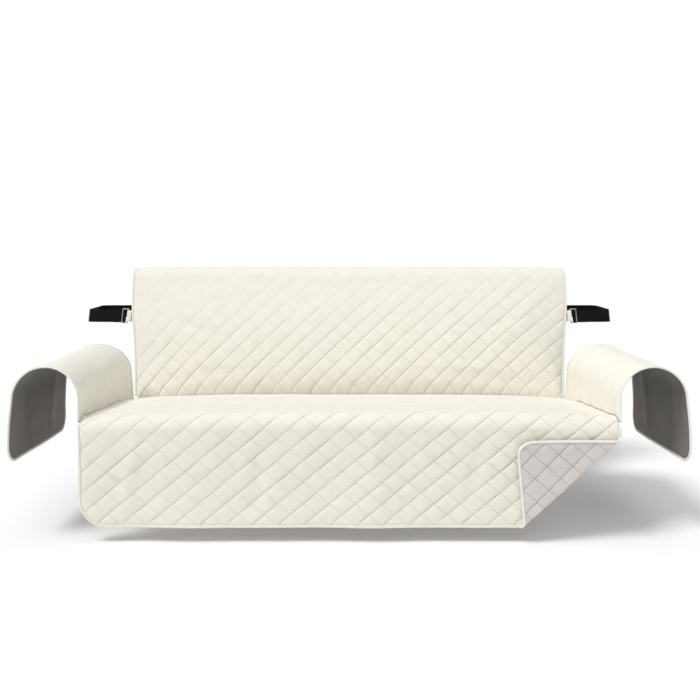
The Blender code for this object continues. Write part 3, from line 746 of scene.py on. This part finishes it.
def thicken(made, thickness, thinnest=None):
    """Thickness for an open sheet, half on each side, with the lining's material inside.

    With a thinnest share, the thickness follows the weights of the filling that the mesh carries.
    """
    solid = made.modifiers.new("cloth", "SOLIDIFY")
    solid.thickness = thickness
    solid.offset = 0
    solid.use_quality_normals = True
    if thinnest is not None:
        solid.vertex_group = made.vertex_groups.new(name="filling").name
        solid.thickness_vertex_group = thinnest
    solid.material_offset = len(made.data.materials) - 1
    solid.material_offset_rim = len(made.data.materials) - 1


def give_map(bm, name, where):
    """A UV map on a bmesh, from a function that gives each point its place on the map."""
    layer = bm.loops.layers.uv.new(name)
    for face in bm.faces:
        for loop in face.loops:
            loop[layer].uv = where(loop.vert)


print("on its stitching a quilted piece is", round(STITCHED / PUFFED, 2), "of its full thickness")

# %% A flat cut with its thread lines
FINE = 6  # mesh squares across a half diamond
FOLD_CUTS = 9  # lines across the bend of the turned corner
BEND_NEAR, BEND_SNAP = 0.01, 0.0004  # a cut splits faces this near to it, and takes points this near
ON_THREAD = 0.0001  # a point this near to a line of thread lies on it, in half diamonds


def half_diamonds(cut, spot):
    """A flat point's place counted in half diamonds, across the cut and along it."""
    half, length, columns, rows, first = cut
    return (spot.x + half) * columns / (2 * half) - first, spot.y * rows / length


def thread_gap(a, b):
    """How far a place in half diamonds lies from the nearest line of thread."""
    return min(abs(line - round(line)) for line in ((a + b) / 2, (a - b) / 2))


def flat_cut(cut, corners, bends):
    """A flat grid, split along the thread and across the bends, with its corners trimmed round."""
    half, length, columns, rows = cut[:4]
    bm = bmesh.new()
    bmesh.ops.create_grid(bm, x_segments=columns * FINE, y_segments=rows * FINE, size=0.5)
    bmesh.ops.translate(bm, vec=(0, 0.5, 0), verts=bm.verts)
    bmesh.ops.scale(bm, vec=(2 * half, length, 1), verts=bm.verts)
    on_thread = [vert for vert in bm.verts if thread_gap(*half_diamonds(cut, vert.co)) < ON_THREAD]
    bmesh.ops.connect_verts(bm, verts=on_thread)
    for corner in corners:
        round_corner(bm, *corner)
    normal = Vector((*PAST_FOLD, 0))
    for off in bends:
        point = Vector((*(FOLD_START + PAST_FOLD * off), 0))
        faces = [
            face for face in bm.faces
            if abs((face.calc_center_median() - point).dot(normal)) < BEND_NEAR
        ]
        faces = with_borders(faces)
        bmesh.ops.bisect_plane(bm, geom=faces, dist=BEND_SNAP, plane_co=point, plane_no=normal)
    return bm


print("squares across a diamond:", 2 * FINE)

# %% A quilted piece
SLACK_REACH = 0.05  # the cloth is even at its edges and free this far in
PATCH = 2.3  # half diamonds across a patch that is slacker or tighter than its neighbours
SLACK_DRIFT, PLUMP_DRIFT = 0.5, 0.3  # how much slackness and fullness drift from patch to patch
TIGHT_PLUMP, SLACK_PLUMP = 0.22, 0.55  # fullness of stretched cloth, and what full slackness adds
RUCK_SEED = 20  # sets the noise of the small rucks apart from that of the slow unevenness


def between(left, right, side):
    """A value between the left side's and the right's, by a place from -1 to 1."""
    return left + (right - left) * (0.5 + 0.5 * side)


def quilted_sheet(cut, corners, bends, drape, creases, slack_rows, seed):
    """A quilted sheet from its flat cut, given its maps and laid on the sofa by its drape.

    The slack rows say how freely the filling stands up at places along the cut, at its left and at
    its right side, from 0 where it is stretched flat to about 1 where it hangs.
    """
    half, length = cut[:2]
    slack_left, slack_right = ([(row[0], row[side]) for row in slack_rows] for side in (1, 2))
    bm = flat_cut(cut, corners, bends)
    filling = bm.verts.layers.deform.verify()
    slackness = bm.verts.layers.float.new("slack")
    give_map(bm, "flat", lambda vert: vert.co.xy)
    give_map(bm, "diamonds", lambda vert: half_diamonds(cut, vert.co))
    moves = []
    for vert in bm.verts:
        u, v = vert.co.xy
        a, b = half_diamonds(cut, vert.co)
        inside = from_edge(u, v, half, length, corners)
        patchy = noise.noise(Vector((a / PATCH, b / PATCH, seed)))
        slack = between(through(slack_left, v), through(slack_right, v), u / half)
        slack *= 1 + SLACK_DRIFT * patchy
        plump = (TIGHT_PLUMP + SLACK_PLUMP * slack) * (1 + PLUMP_DRIFT * patchy) * ease(inside / EDGE_FLAT)
        full = max(0.0, min(1.0, puff(a, b, between(*FALLING_SWELL, u / half)) * plump))
        vert[slackness] = slack
        vert[filling][0] = full
        swell = full * (FACE_SWELL + uneven(u, v, seed + RUCK_SEED, RUCK_HEIGHT, RUCK_PATCH))
        moves.append(swell + ease(inside / SLACK_REACH) * (uneven(u, v, seed) + creased(u, v, creases)))
        vert.co = drape(u, v)
    bm.normal_update()
    for vert, move in zip(bm.verts, moves):
        vert.co += vert.normal * move
    return bm


print("the filling moves the face out by up to about", round(1000 * FACE_SWELL, 1), "mm")

# %% [markdown]
# ## The back piece
#
# The cover is stretched smooth over the top of the backrest, and lower down its quilting stands up in
# fuller pillows, more so towards the right. The creases below are the photograph's: long soft ones
# above the crease with the seat, short pulls in from the two sliders, a slack fold up to the right
# corner and one along the top.

# %% Back piece
BACK_CREASES = (
    # u0, v0, u1, v1, width, height, all in metres
    (-0.80, 0.06, -0.30, 0.10, 0.022, -0.004),
    (0.25, 0.09, 0.78, 0.05, 0.024, -0.004),
    (-0.74, 0.30, -0.52, 0.22, 0.016, -0.003),
    (0.74, 0.31, 0.50, 0.24, 0.016, -0.003),
    (0.56, 0.12, 0.80, 0.44, 0.030, 0.004),
    (-0.20, 0.46, 0.22, 0.48, 0.026, 0.003),
)
BACK_SLACK = (
    # place along the cut, slack at the left, slack at the right
    (0.0, 0.9, 1.0),
    (0.12, 0.8, 1.0),
    (0.24, 0.4, 0.9),
    (0.34, 0.1, 0.7),
    (0.50, 0.1, 0.3),
    (0.62, 0.4, 0.4),
    (BACK_LENGTH, 0.8, 0.8),
)
BACK_CORNERS = (
    (BACK_HALF - BACK_CORNER, BACK_LENGTH - BACK_CORNER, 1, 1, BACK_CORNER),
    (BACK_CORNER - BACK_HALF, BACK_LENGTH - BACK_CORNER, -1, 1, BACK_CORNER),
)

cut = (BACK_HALF, BACK_LENGTH, BACK_COLUMNS, BACK_ROWS, BACK_FIRST)
bm = quilted_sheet(cut, BACK_CORNERS, (), back_point, BACK_CREASES, BACK_SLACK, 11.0)
back_cloth = finished("back_cloth", bm, (microfibre, lining), "back_panel")
thicken(back_cloth, PUFFED, STITCHED / PUFFED)
print(back_cloth.name, len(back_cloth.data.polygons), "faces before its thickness")

# %% [markdown]
# ## The seat piece and its turned-up corner
#
# The same quilted cloth covers the seat and hangs down in front. Nine cuts parallel to the fold let
# the turned corner bend round a smooth edge instead of a sharp one, and behind them the lining
# shows.

# %% Seat piece
SEAT_CREASES = (
    (-0.70, 0.02, -0.66, 0.30, 0.022, 0.005),
    (-0.30, 0.00, -0.27, 0.28, 0.026, -0.005),
    (0.10, 0.02, 0.07, 0.30, 0.022, 0.004),
    (0.36, 0.05, 0.42, 0.30, 0.020, -0.004),
    (-0.78, 0.40, -0.40, 0.47, 0.026, -0.003),
    (0.20, 0.62, 0.72, 0.50, 0.030, -0.003),
)
# Free on the hanging skirt, stretched smooth over the seat's edge and top
SEAT_SLACK = (
    # place along the cut, slack at the left, slack at the right
    (0.0, 0.8, 1.1),
    (0.26, 0.8, 1.1),
    (0.36, 0.5, 0.8),
    (0.46, 0.3, 0.4),
    (SEAT_LENGTH, 0.3, 0.4),
)
left_radius, right_radius = SKIRT_CORNERS
SKIRT_ROUNDS = (
    (left_radius - SEAT_HALF, left_radius, -1, -1, left_radius),
    (SEAT_HALF - right_radius, right_radius, 1, -1, right_radius),
)
fold_bends = tuple(math.pi * FOLD_RADIUS * k / (FOLD_CUTS - 1) for k in range(FOLD_CUTS))

cut = (SEAT_HALF, SEAT_LENGTH, SEAT_COLUMNS, SEAT_ROWS, SEAT_FIRST)
bm = quilted_sheet(cut, SKIRT_ROUNDS, fold_bends, seat_point, SEAT_CREASES, SEAT_SLACK, 3.0)
seat_cloth = finished("seat_cloth", bm, (microfibre, lining), "seat_panel")
thicken(seat_cloth, PUFFED, STITCHED / PUFFED)
print(seat_cloth.name, len(seat_cloth.data.polygons), "faces before its thickness")

# %% [markdown]
# ## The arm pieces
#
# These are plain: one layer of microfibre on its lining, cut wide at the seam and narrower where
# they hang. The seam gathers them into short puckers, and the tug over the arm leaves a few
# slanting folds that die out towards the hem.

# %% Arm pieces
ARM_SQUARES = 110
PLAIN = 0.0022  # thickness of the cloth without quilting
ARM_EVEN = 0.040  # the cloth is even at its free edges and slack this far in
# u0, v0, u1, v1, width, height, seen as the right arm
ARM_CREASES = (
    (0.50, 0.00, 0.47, 0.20, 0.012, -0.009),
    (0.545, 0.00, 0.53, 0.17, 0.010, -0.007),
    (0.42, 0.00, 0.45, 0.14, 0.012, -0.006),
    (0.33, 0.01, 0.35, 0.12, 0.014, -0.005),
    (0.20, 0.01, 0.15, 0.13, 0.012, -0.006),
    (0.08, 0.02, 0.12, 0.16, 0.014, -0.005),
    (0.03, 0.18, 0.30, 0.28, 0.024, 0.003),
    (0.16, 0.14, 0.40, 0.20, 0.020, -0.003),
    (0.10, 0.36, 0.14, 0.60, 0.028, 0.005),
    (0.34, 0.34, 0.31, 0.60, 0.026, -0.005),
)
# Gathers in the seam: place along it and depth; and how wide and how long they all are
ARM_NOTCHES = ((0.055, 0.006), (0.165, 0.004), (0.275, 0.006), (0.385, 0.005), (0.49, 0.006))
NOTCH_WIDE, NOTCH_LONG = 0.012, 0.020


def mirror(bm):
    """Turn a bmesh into its mirror image across the cover's middle, its faces still outwards."""
    bmesh.ops.scale(bm, vec=(-1, 1, 1), verts=bm.verts)
    bmesh.ops.reverse_faces(bm, faces=bm.faces)


def arm_sheet(flip, seed):
    """An arm piece from its flat cut; flip is 1 for the right arm and -1 for the left one."""
    hem_cut = arm_cut(ARM_SPAN)
    bm = bmesh.new()
    bmesh.ops.create_grid(bm, x_segments=ARM_SQUARES, y_segments=ARM_SQUARES, size=0.5)
    bmesh.ops.translate(bm, vec=(0.5, 0.5, 0), verts=bm.verts)
    for vert in bm.verts:
        vert.co.y *= ARM_SPAN
        vert.co.x *= arm_cut(vert.co.y)
    for middle, out_u in ((ARM_CORNER, -1), (hem_cut - ARM_CORNER, 1)):
        round_corner(bm, middle, ARM_SPAN - ARM_CORNER, out_u, 1, ARM_CORNER)
    give_map(bm, "flat", lambda vert: vert.co.xy)
    moves = []
    for vert in bm.verts:
        u, v = vert.co.xy
        wide = arm_cut(v)
        slack = ease(min(u, wide - u, ARM_SPAN - v) / ARM_EVEN)
        pull = 0.0
        for at, depth in ARM_NOTCHES:
            pull -= depth * math.exp(-(((u - at) / NOTCH_WIDE) ** 2) - v / NOTCH_LONG)
        moves.append(slack * (uneven(u, v, seed) + creased(u, v, ARM_CREASES) + pull))
        vert.co = arm_point(u, v)
    bmesh.ops.reverse_faces(bm, faces=bm.faces)  # the drape turns the cut over
    bm.normal_update()
    for vert, move in zip(bm.verts, moves):
        vert.co += vert.normal * move
    if flip < 0:
        mirror(bm)
    return bm


for side, flip, seed in (("left", -1, 5.0), ("right", 1, 8.0)):
    bm = arm_sheet(flip, seed)
    made = finished("arm_cloth_" + side, bm, (plain_microfibre, arm_lining_painted_shade), "arm_panel_" + side)
    thicken(made, PLAIN)

# %% [markdown]
# ## Binding the edges
#
# A strip of twill tape is folded round each raw edge. Its section is a flat oval, swept along the
# edge: a grid, rolled up by its short side, whose first and last rows are welded. The path runs on
# the flat cut, a little outside it, and goes through the same drape as the cloth, so tape and cloth
# bend together.

# %% Sweep an oval
TAPE_STEP, TAPE_AROUND = 0.005, 12
NUDGE = 0.001  # a small step on the cut, to find a direction on the sofa


def line_points(start, end):
    """Points from start towards end, a few millimetres apart, with the direction of travel."""
    start, end = np.array(start, float), np.array(end, float)
    count = max(1, round(float(np.linalg.norm(end - start)) / TAPE_STEP))
    return [(start + (end - start) * k / count, unit(end - start)) for k in range(count)]


def arc_points(middle, radius, first, turn):
    """Points round an arc, from a first spoke in degrees through a turn, with the direction."""
    count = max(4, round(abs(math.radians(turn)) * radius / TAPE_STEP))
    points = []
    for k in range(count):
        angle = math.radians(first + turn * k / count)
        spoke = np.array((math.cos(angle), math.sin(angle)))
        points.append((np.array(middle) + radius * spoke, np.array((-spoke[1], spoke[0])) * np.sign(turn)))
    return points


def tape_frames(path, drape, off):
    """Centre, outward and upward directions of a tape along a flat path that turns left."""
    frames = []
    for point, travel in path:
        out = np.array((travel[1], -travel[0]))
        centre = drape(*(point + out * off))
        outer, inner = (drape(*(point + out * (off + nudge))) for nudge in (NUDGE, -NUDGE))
        outward = (outer - inner).normalized()
        ahead = (drape(*(point + out * off + travel * NUDGE)) - centre).normalized()
        frames.append((centre, outward, ahead.cross(outward).normalized()))
    return frames


def distances(points):
    """The distance along a row of points, at each of them."""
    runs = [0.0]
    for before, after in zip(points, points[1:]):
        runs.append(runs[-1] + (after - before).length)
    return runs


def swept(frames, wide, high):
    """A closed tube of oval section along its frames, with a map in metres along and around."""
    bm = bmesh.new()
    bmesh.ops.create_grid(bm, x_segments=len(frames) - 1, y_segments=TAPE_AROUND, size=0.5)
    runs = distances([centre for centre, outward, upward in frames])
    around = math.pi * (wide + high)
    steps = {vert: round((vert.co.x + 0.5) * (len(frames) - 1)) for vert in bm.verts}
    give_map(bm, "flat", lambda vert: (runs[steps[vert]], (vert.co.y + 0.5) * around))
    for vert, step in steps.items():
        centre, outward, upward = frames[step]
        angle = 2 * math.pi * (vert.co.y + 0.5)
        vert.co = centre - outward * wide * math.cos(angle) + upward * high * math.sin(angle)
    bmesh.ops.remove_doubles(bm, verts=bm.verts, dist=SNAP)
    bmesh.ops.holes_fill(bm, edges=[edge for edge in bm.edges if edge.is_boundary], sides=TAPE_AROUND)
    bmesh.ops.recalc_face_normals(bm, faces=bm.faces)
    return bm


print("tape:", round(2000 * TAPE_WIDE, 1), "by", round(2000 * TAPE_HIGH, 1), "mm")

# %% Tapes
SKIRT_TAPE_TOP = SKIRT_DROP - 0.008  # the skirt's tape ends just under the seat's edge
BACK_TAPE_END, ARM_TAPE_END = 0.016, 0.007  # and the others just short of the seams
SLOPE = 0.002  # a small step either way, to find the direction of the arm's sloping edge

path = line_points((-SEAT_HALF, SKIRT_TAPE_TOP), (-SEAT_HALF, left_radius))
path += arc_points((left_radius - SEAT_HALF, left_radius), left_radius, 180, 90)
path += line_points((left_radius - SEAT_HALF, 0), (SEAT_HALF - right_radius, 0))
path += arc_points((SEAT_HALF - right_radius, right_radius), right_radius, 270, 90)
path += line_points((SEAT_HALF, right_radius), (SEAT_HALF, SKIRT_TAPE_TOP))
bm = swept(tape_frames(path, seat_point, TAPE_OFF), TAPE_WIDE, TAPE_HIGH)
skirt_tape = finished("skirt_tape", bm, (twill_tape,), "skirt_binding")

inner, end = BACK_HALF - BACK_CORNER, BACK_LENGTH - BACK_CORNER
path = line_points((BACK_HALF, BACK_TAPE_END), (BACK_HALF, end))
path += arc_points((inner, end), BACK_CORNER, 0, 90)
path += line_points((inner, BACK_LENGTH), (-inner, BACK_LENGTH))
path += arc_points((-inner, end), BACK_CORNER, 90, 90)
path += line_points((-BACK_HALF, end), (-BACK_HALF, BACK_TAPE_END))
bm = swept(tape_frames(path, back_point, TAPE_OFF), TAPE_WIDE, TAPE_HIGH)
back_tape = finished("back_tape", bm, (twill_tape,), "back_binding")

hem_cut, end = arm_cut(ARM_SPAN), ARM_SPAN - ARM_CORNER
path = []
for v in np.arange(ARM_TAPE_END, end, TAPE_STEP):
    travel = unit(np.array((arm_cut(v + SLOPE) - arm_cut(v - SLOPE), 2 * SLOPE)))
    path.append((np.array((arm_cut(v), v)), travel))
path += arc_points((hem_cut - ARM_CORNER, end), ARM_CORNER, 0, 90)
path += line_points((hem_cut - ARM_CORNER, ARM_SPAN), (ARM_CORNER, ARM_SPAN))
path += arc_points((ARM_CORNER, end), ARM_CORNER, 90, 90)
path += line_points((0, end), (0, ARM_TAPE_END))
for side, flip in (("left", -1), ("right", 1)):
    bm = swept(tape_frames(path, arm_point, TAPE_OFF), TAPE_WIDE, TAPE_HIGH)
    if flip < 0:
        mirror(bm)
    finished("arm_tape_" + side, bm, (twill_tape,), "arm_binding_" + side)

# %% [markdown]
# ## Seams
#
# Back, seat and arm pieces meet in seams. On the real cover their edges are sewn together and the
# narrow seam allowance is turned to the inside, where it rolls up. Each seam is such a small roll,
# set just under the line where two pieces meet.

# %% Seams
SEAM_WIDE, SEAM_HIGH, SEAM_SUNK = 0.0050, 0.0026, 0.0060
SEAM_SHORT = 0.004  # the crease's seam stops this far short of each side
ARM_SEAM_ENDS = (0.012, 0.006)  # and the arms' this far short of front and rear
CREASE_STEPS, ARM_STEPS = 180, 90
CREASE_INWARD, ARM_INWARD = (0, 0.4, -0.9), (0.3, 0, -0.95)  # the way in under the cloth


def seam_frames(points, inward):
    """Frames of a seam roll along points of the seam line, sunk along the inward direction."""
    frames = []
    for k, point in enumerate(points):
        ahead = (points[min(k + 1, len(points) - 1)] - points[max(k - 1, 0)]).normalized()
        sideways = ahead.cross(inward).normalized()
        frames.append((point + inward * SEAM_SUNK, sideways, inward))
    return frames


steps = np.linspace(-SEAT_HALF + SEAM_SHORT, SEAT_HALF - SEAM_SHORT, CREASE_STEPS)
crease = [(seat_point(u, SEAT_LENGTH) + back_point(u * BACK_HALF / SEAT_HALF, 0.0)) / 2 for u in steps]
bm = swept(seam_frames(crease, Vector(CREASE_INWARD)), SEAM_WIDE, SEAM_HIGH)
crease_seam = finished("crease_seam", bm, (twill_tape,), None)
arm_seams = {}
for side, flip in (("left", -1), ("right", 1)):
    flipped = Vector((flip, 1, 1))
    steps = np.linspace(ARM_SEAM_ENDS[0], ARM_CUTS[0][1] - ARM_SEAM_ENDS[1], ARM_STEPS)
    line = [arm_point(u, 0.0) * flipped for u in steps]
    bm = swept(seam_frames(line, Vector(ARM_INWARD) * flipped), SEAM_WIDE, SEAM_HIGH)
    arm_seams[side] = finished("arm_seam_" + side, bm, (twill_tape,), None)
print("seams:", crease_seam.name, *(made.name for made in arm_seams.values()))

# %% [markdown]
# ## Strap and sliders
#
# The elastic runs round the back of the backrest, comes forward past both its ends and threads
# through a metal slider on each side: behind the outer bar, round the front of the middle one and
# back along itself. A short loop of tape, sewn to the back piece, holds the slider's inner bar.

# %% Route of the strap
STRAP_HEIGHT = 0.627
STRAP_FACE_Y = BACK_LINE[0][0] + (STRAP_HEIGHT - BACK_LINE[0][1]) * math.tan(BACK_TILT)
STRAP_SIDE_X, STRAP_BACK_Y, STRAP_CORNER = 1.054, 0.909, 0.025
BUCKLE_X, TAB_WIDE = 0.887, 0.044
# Side view of the strap's thread through its slider: outwards from the slider's end, and behind it
STRAP_THREAD = (
    (0.0285, 0.0032), (0.0238, 0.0030), (0.0210, 0.0006), (0.0174, -0.0026), (0.0140, -0.0028),
    (0.0116, -0.0023), (0.0107, 0.0), (0.0116, 0.0023), (0.0140, 0.0028), (0.0175, 0.0034),
    (0.0205, 0.0047), (0.0240, 0.0055), (0.0285, 0.0055), (0.0600, 0.0055),
)
TAB_THREAD = (
    (-0.0400, 0.0062), (-0.0070, 0.0062), (-0.0005, 0.0036), (0.0030, 0.0027), (0.0054, 0.0022),
    (0.0064, 0.0), (0.0054, -0.0022), (0.0030, -0.0027), (-0.0030, -0.0026), (-0.0095, -0.0014),
)


def smoothed(rows, finer=5):
    """A soft curve through rows of (a, b): each stretch leans on its neighbours' directions."""
    points = [np.array(row) for row in rows]
    curve = []
    for k in range(len(points) - 1):
        before, start = points[max(k - 1, 0)], points[k]
        end, after = points[k + 1], points[min(k + 2, len(points) - 1)]
        for step in range(finer):
            t = step / finer
            bend = (1 - t) * (end - before) / 2 - t * (after - start) / 2 - (1 - 2 * t) * (end - start)
            curve.append(start + (end - start) * t + bend * t * (1 - t))
    return curve + [points[-1]]


def on_slider(outwards, behind, flip):
    """A point level with a slider's middle: so far outwards from its inner end, and so far behind it."""
    y = STRAP_FACE_Y + behind * math.cos(BACK_TILT)
    z = STRAP_HEIGHT - behind * math.sin(BACK_TILT)
    return place(flip * (BUCKLE_X + outwards), y, z)


def strap_up(share=1.0):
    """The direction across the strap: along the backrest at 1 and upright at 0."""
    return Vector((0, math.sin(BACK_TILT * share), math.cos(BACK_TILT * share)))


def strap_half(flip):
    """Half of the strap as (point, direction across it), from behind to the thread's end."""
    first = STRAP_THREAD[0]
    face = STRAP_FACE_Y + first[1] * math.cos(BACK_TILT)
    turns = [(0, STRAP_BACK_Y, 0), (STRAP_SIDE_X, STRAP_BACK_Y, STRAP_CORNER)]
    turns += [(STRAP_SIDE_X, face, STRAP_CORNER), (BUCKLE_X + first[0], face, 0)]
    path = []
    for x, y in rounded(turns, steps=14)[:-1]:
        share = (STRAP_BACK_Y - y) / (STRAP_BACK_Y - face)
        path.append((place(flip * x, y, STRAP_HEIGHT), strap_up(share)))
    return path + [(on_slider(s, t, flip), strap_up()) for s, t in smoothed(STRAP_THREAD)]


print("strap's face", round(STRAP_FACE_Y, 3), "m behind the front of the arms")


# %% Strap
def ribbon(path, wide):
    """A flat strip along a path of (point, direction across it), mapped in metres."""
    bm = bmesh.new()
    bmesh.ops.create_grid(bm, x_segments=len(path) - 1, y_segments=8, size=0.5)
    runs = distances([point for point, across in path])
    steps = {vert: round((vert.co.x + 0.5) * (len(path) - 1)) for vert in bm.verts}
    give_map(bm, "flat", lambda vert: (runs[steps[vert]], (vert.co.y + 0.5) * wide))
    for vert, step in steps.items():
        point, across = path[step]
        vert.co = point + across * vert.co.y * wide
    return bm, runs[-1]


STRAP_EDGE, PLATE_EDGE = 0.0004, 0.0007  # widths of the rounded edges of straps and sliders
EDGE_ANGLE = 50  # in degrees: edges that turn by more are rounded


def soften(made, width, segments=2):
    """A small live bevel on the edges of a thickened strip or a plate."""
    bevel = made.modifiers.new("soft_edges", "BEVEL")
    bevel.width = width
    bevel.segments = segments
    bevel.limit_method = "ANGLE"
    bevel.angle_limit = math.radians(EDGE_ANGLE)


bm, strap_length = ribbon(strap_half(-1)[::-1] + strap_half(1)[1:], STRAP_WIDE)
elastic_strap = finished("elastic_strap", bm, (elastic,), "strap")
thicken(elastic_strap, STRAP_THICK)
soften(elastic_strap, STRAP_EDGE)
print("strap:", round(strap_length, 3), "m of elastic")

# %% Loops and sliders
SLIDER_HIGH, SLIDER_DEEP, SLIDER_RAIL = 0.060, 0.003, 0.004
SLIDER_BARS = (0.0, 0.0045, 0.0125, 0.0155, 0.0235, 0.0275)  # edges of its three bars, outwards
SLIDER_ROUND = 0.0035


def slider_plate(flip):
    """A plate with two windows from a grid of 5 by 3 faces, its corners and edges rounded."""
    bm = bmesh.new()
    bmesh.ops.create_grid(bm, x_segments=5, y_segments=3, size=0.5)
    high = SLIDER_HIGH / 2
    heights = (-high, SLIDER_RAIL - high, high - SLIDER_RAIL, high)
    for vert in bm.verts:
        vert.co.x = SLIDER_BARS[round((vert.co.x + 0.5) * 5)]
        vert.co.y = heights[round((vert.co.y + 0.5) * 3)]
    middles = [(SLIDER_BARS[k] + SLIDER_BARS[k + 1]) / 2 for k in (1, 3)]
    windows = [
        face for face in bm.faces
        if abs(face.calc_center_median().y) < 0.001
        and min(abs(face.calc_center_median().x - middle) for middle in middles) < 0.0005
    ]
    bmesh.ops.delete(bm, geom=windows, context="FACES_ONLY")
    corners = [vert for vert in bm.verts if len(vert.link_faces) == 1]
    bmesh.ops.bevel(
        bm, geom=corners, offset=SLIDER_ROUND, affect="VERTICES", segments=5, profile=0.5, material=-1
    )
    bmesh.ops.solidify(bm, geom=bm.faces[:], thickness=SLIDER_DEEP)
    bmesh.ops.recalc_face_normals(bm, faces=bm.faces)
    middle = sum(vert.co.z for vert in bm.verts) / len(bm.verts)
    for vert in bm.verts:
        x, y, z = vert.co
        vert.co = on_slider(x, z - middle, flip) + strap_up() * y
    bmesh.ops.recalc_face_normals(bm, faces=bm.faces)
    return bm


loops, sliders = {}, {}
for side, flip in (("left", -1), ("right", 1)):
    path = [(on_slider(s, t, flip), strap_up()) for s, t in smoothed(TAB_THREAD)]
    bm, loop_length = ribbon(path, TAB_WIDE)
    loops[side] = finished("strap_loop_" + side, bm, (twill_tape,), "strap_tab_" + side)
    thicken(loops[side], STRAP_THICK)
    soften(loops[side], STRAP_EDGE)
    sliders[side] = finished("slider_" + side, slider_plate(flip), (nickel,), "buckle_" + side)
    soften(sliders[side], PLATE_EDGE, 3)
print("loops of", round(1000 * loop_length), "mm and sliders", round(1000 * SLIDER_HIGH), "mm high")
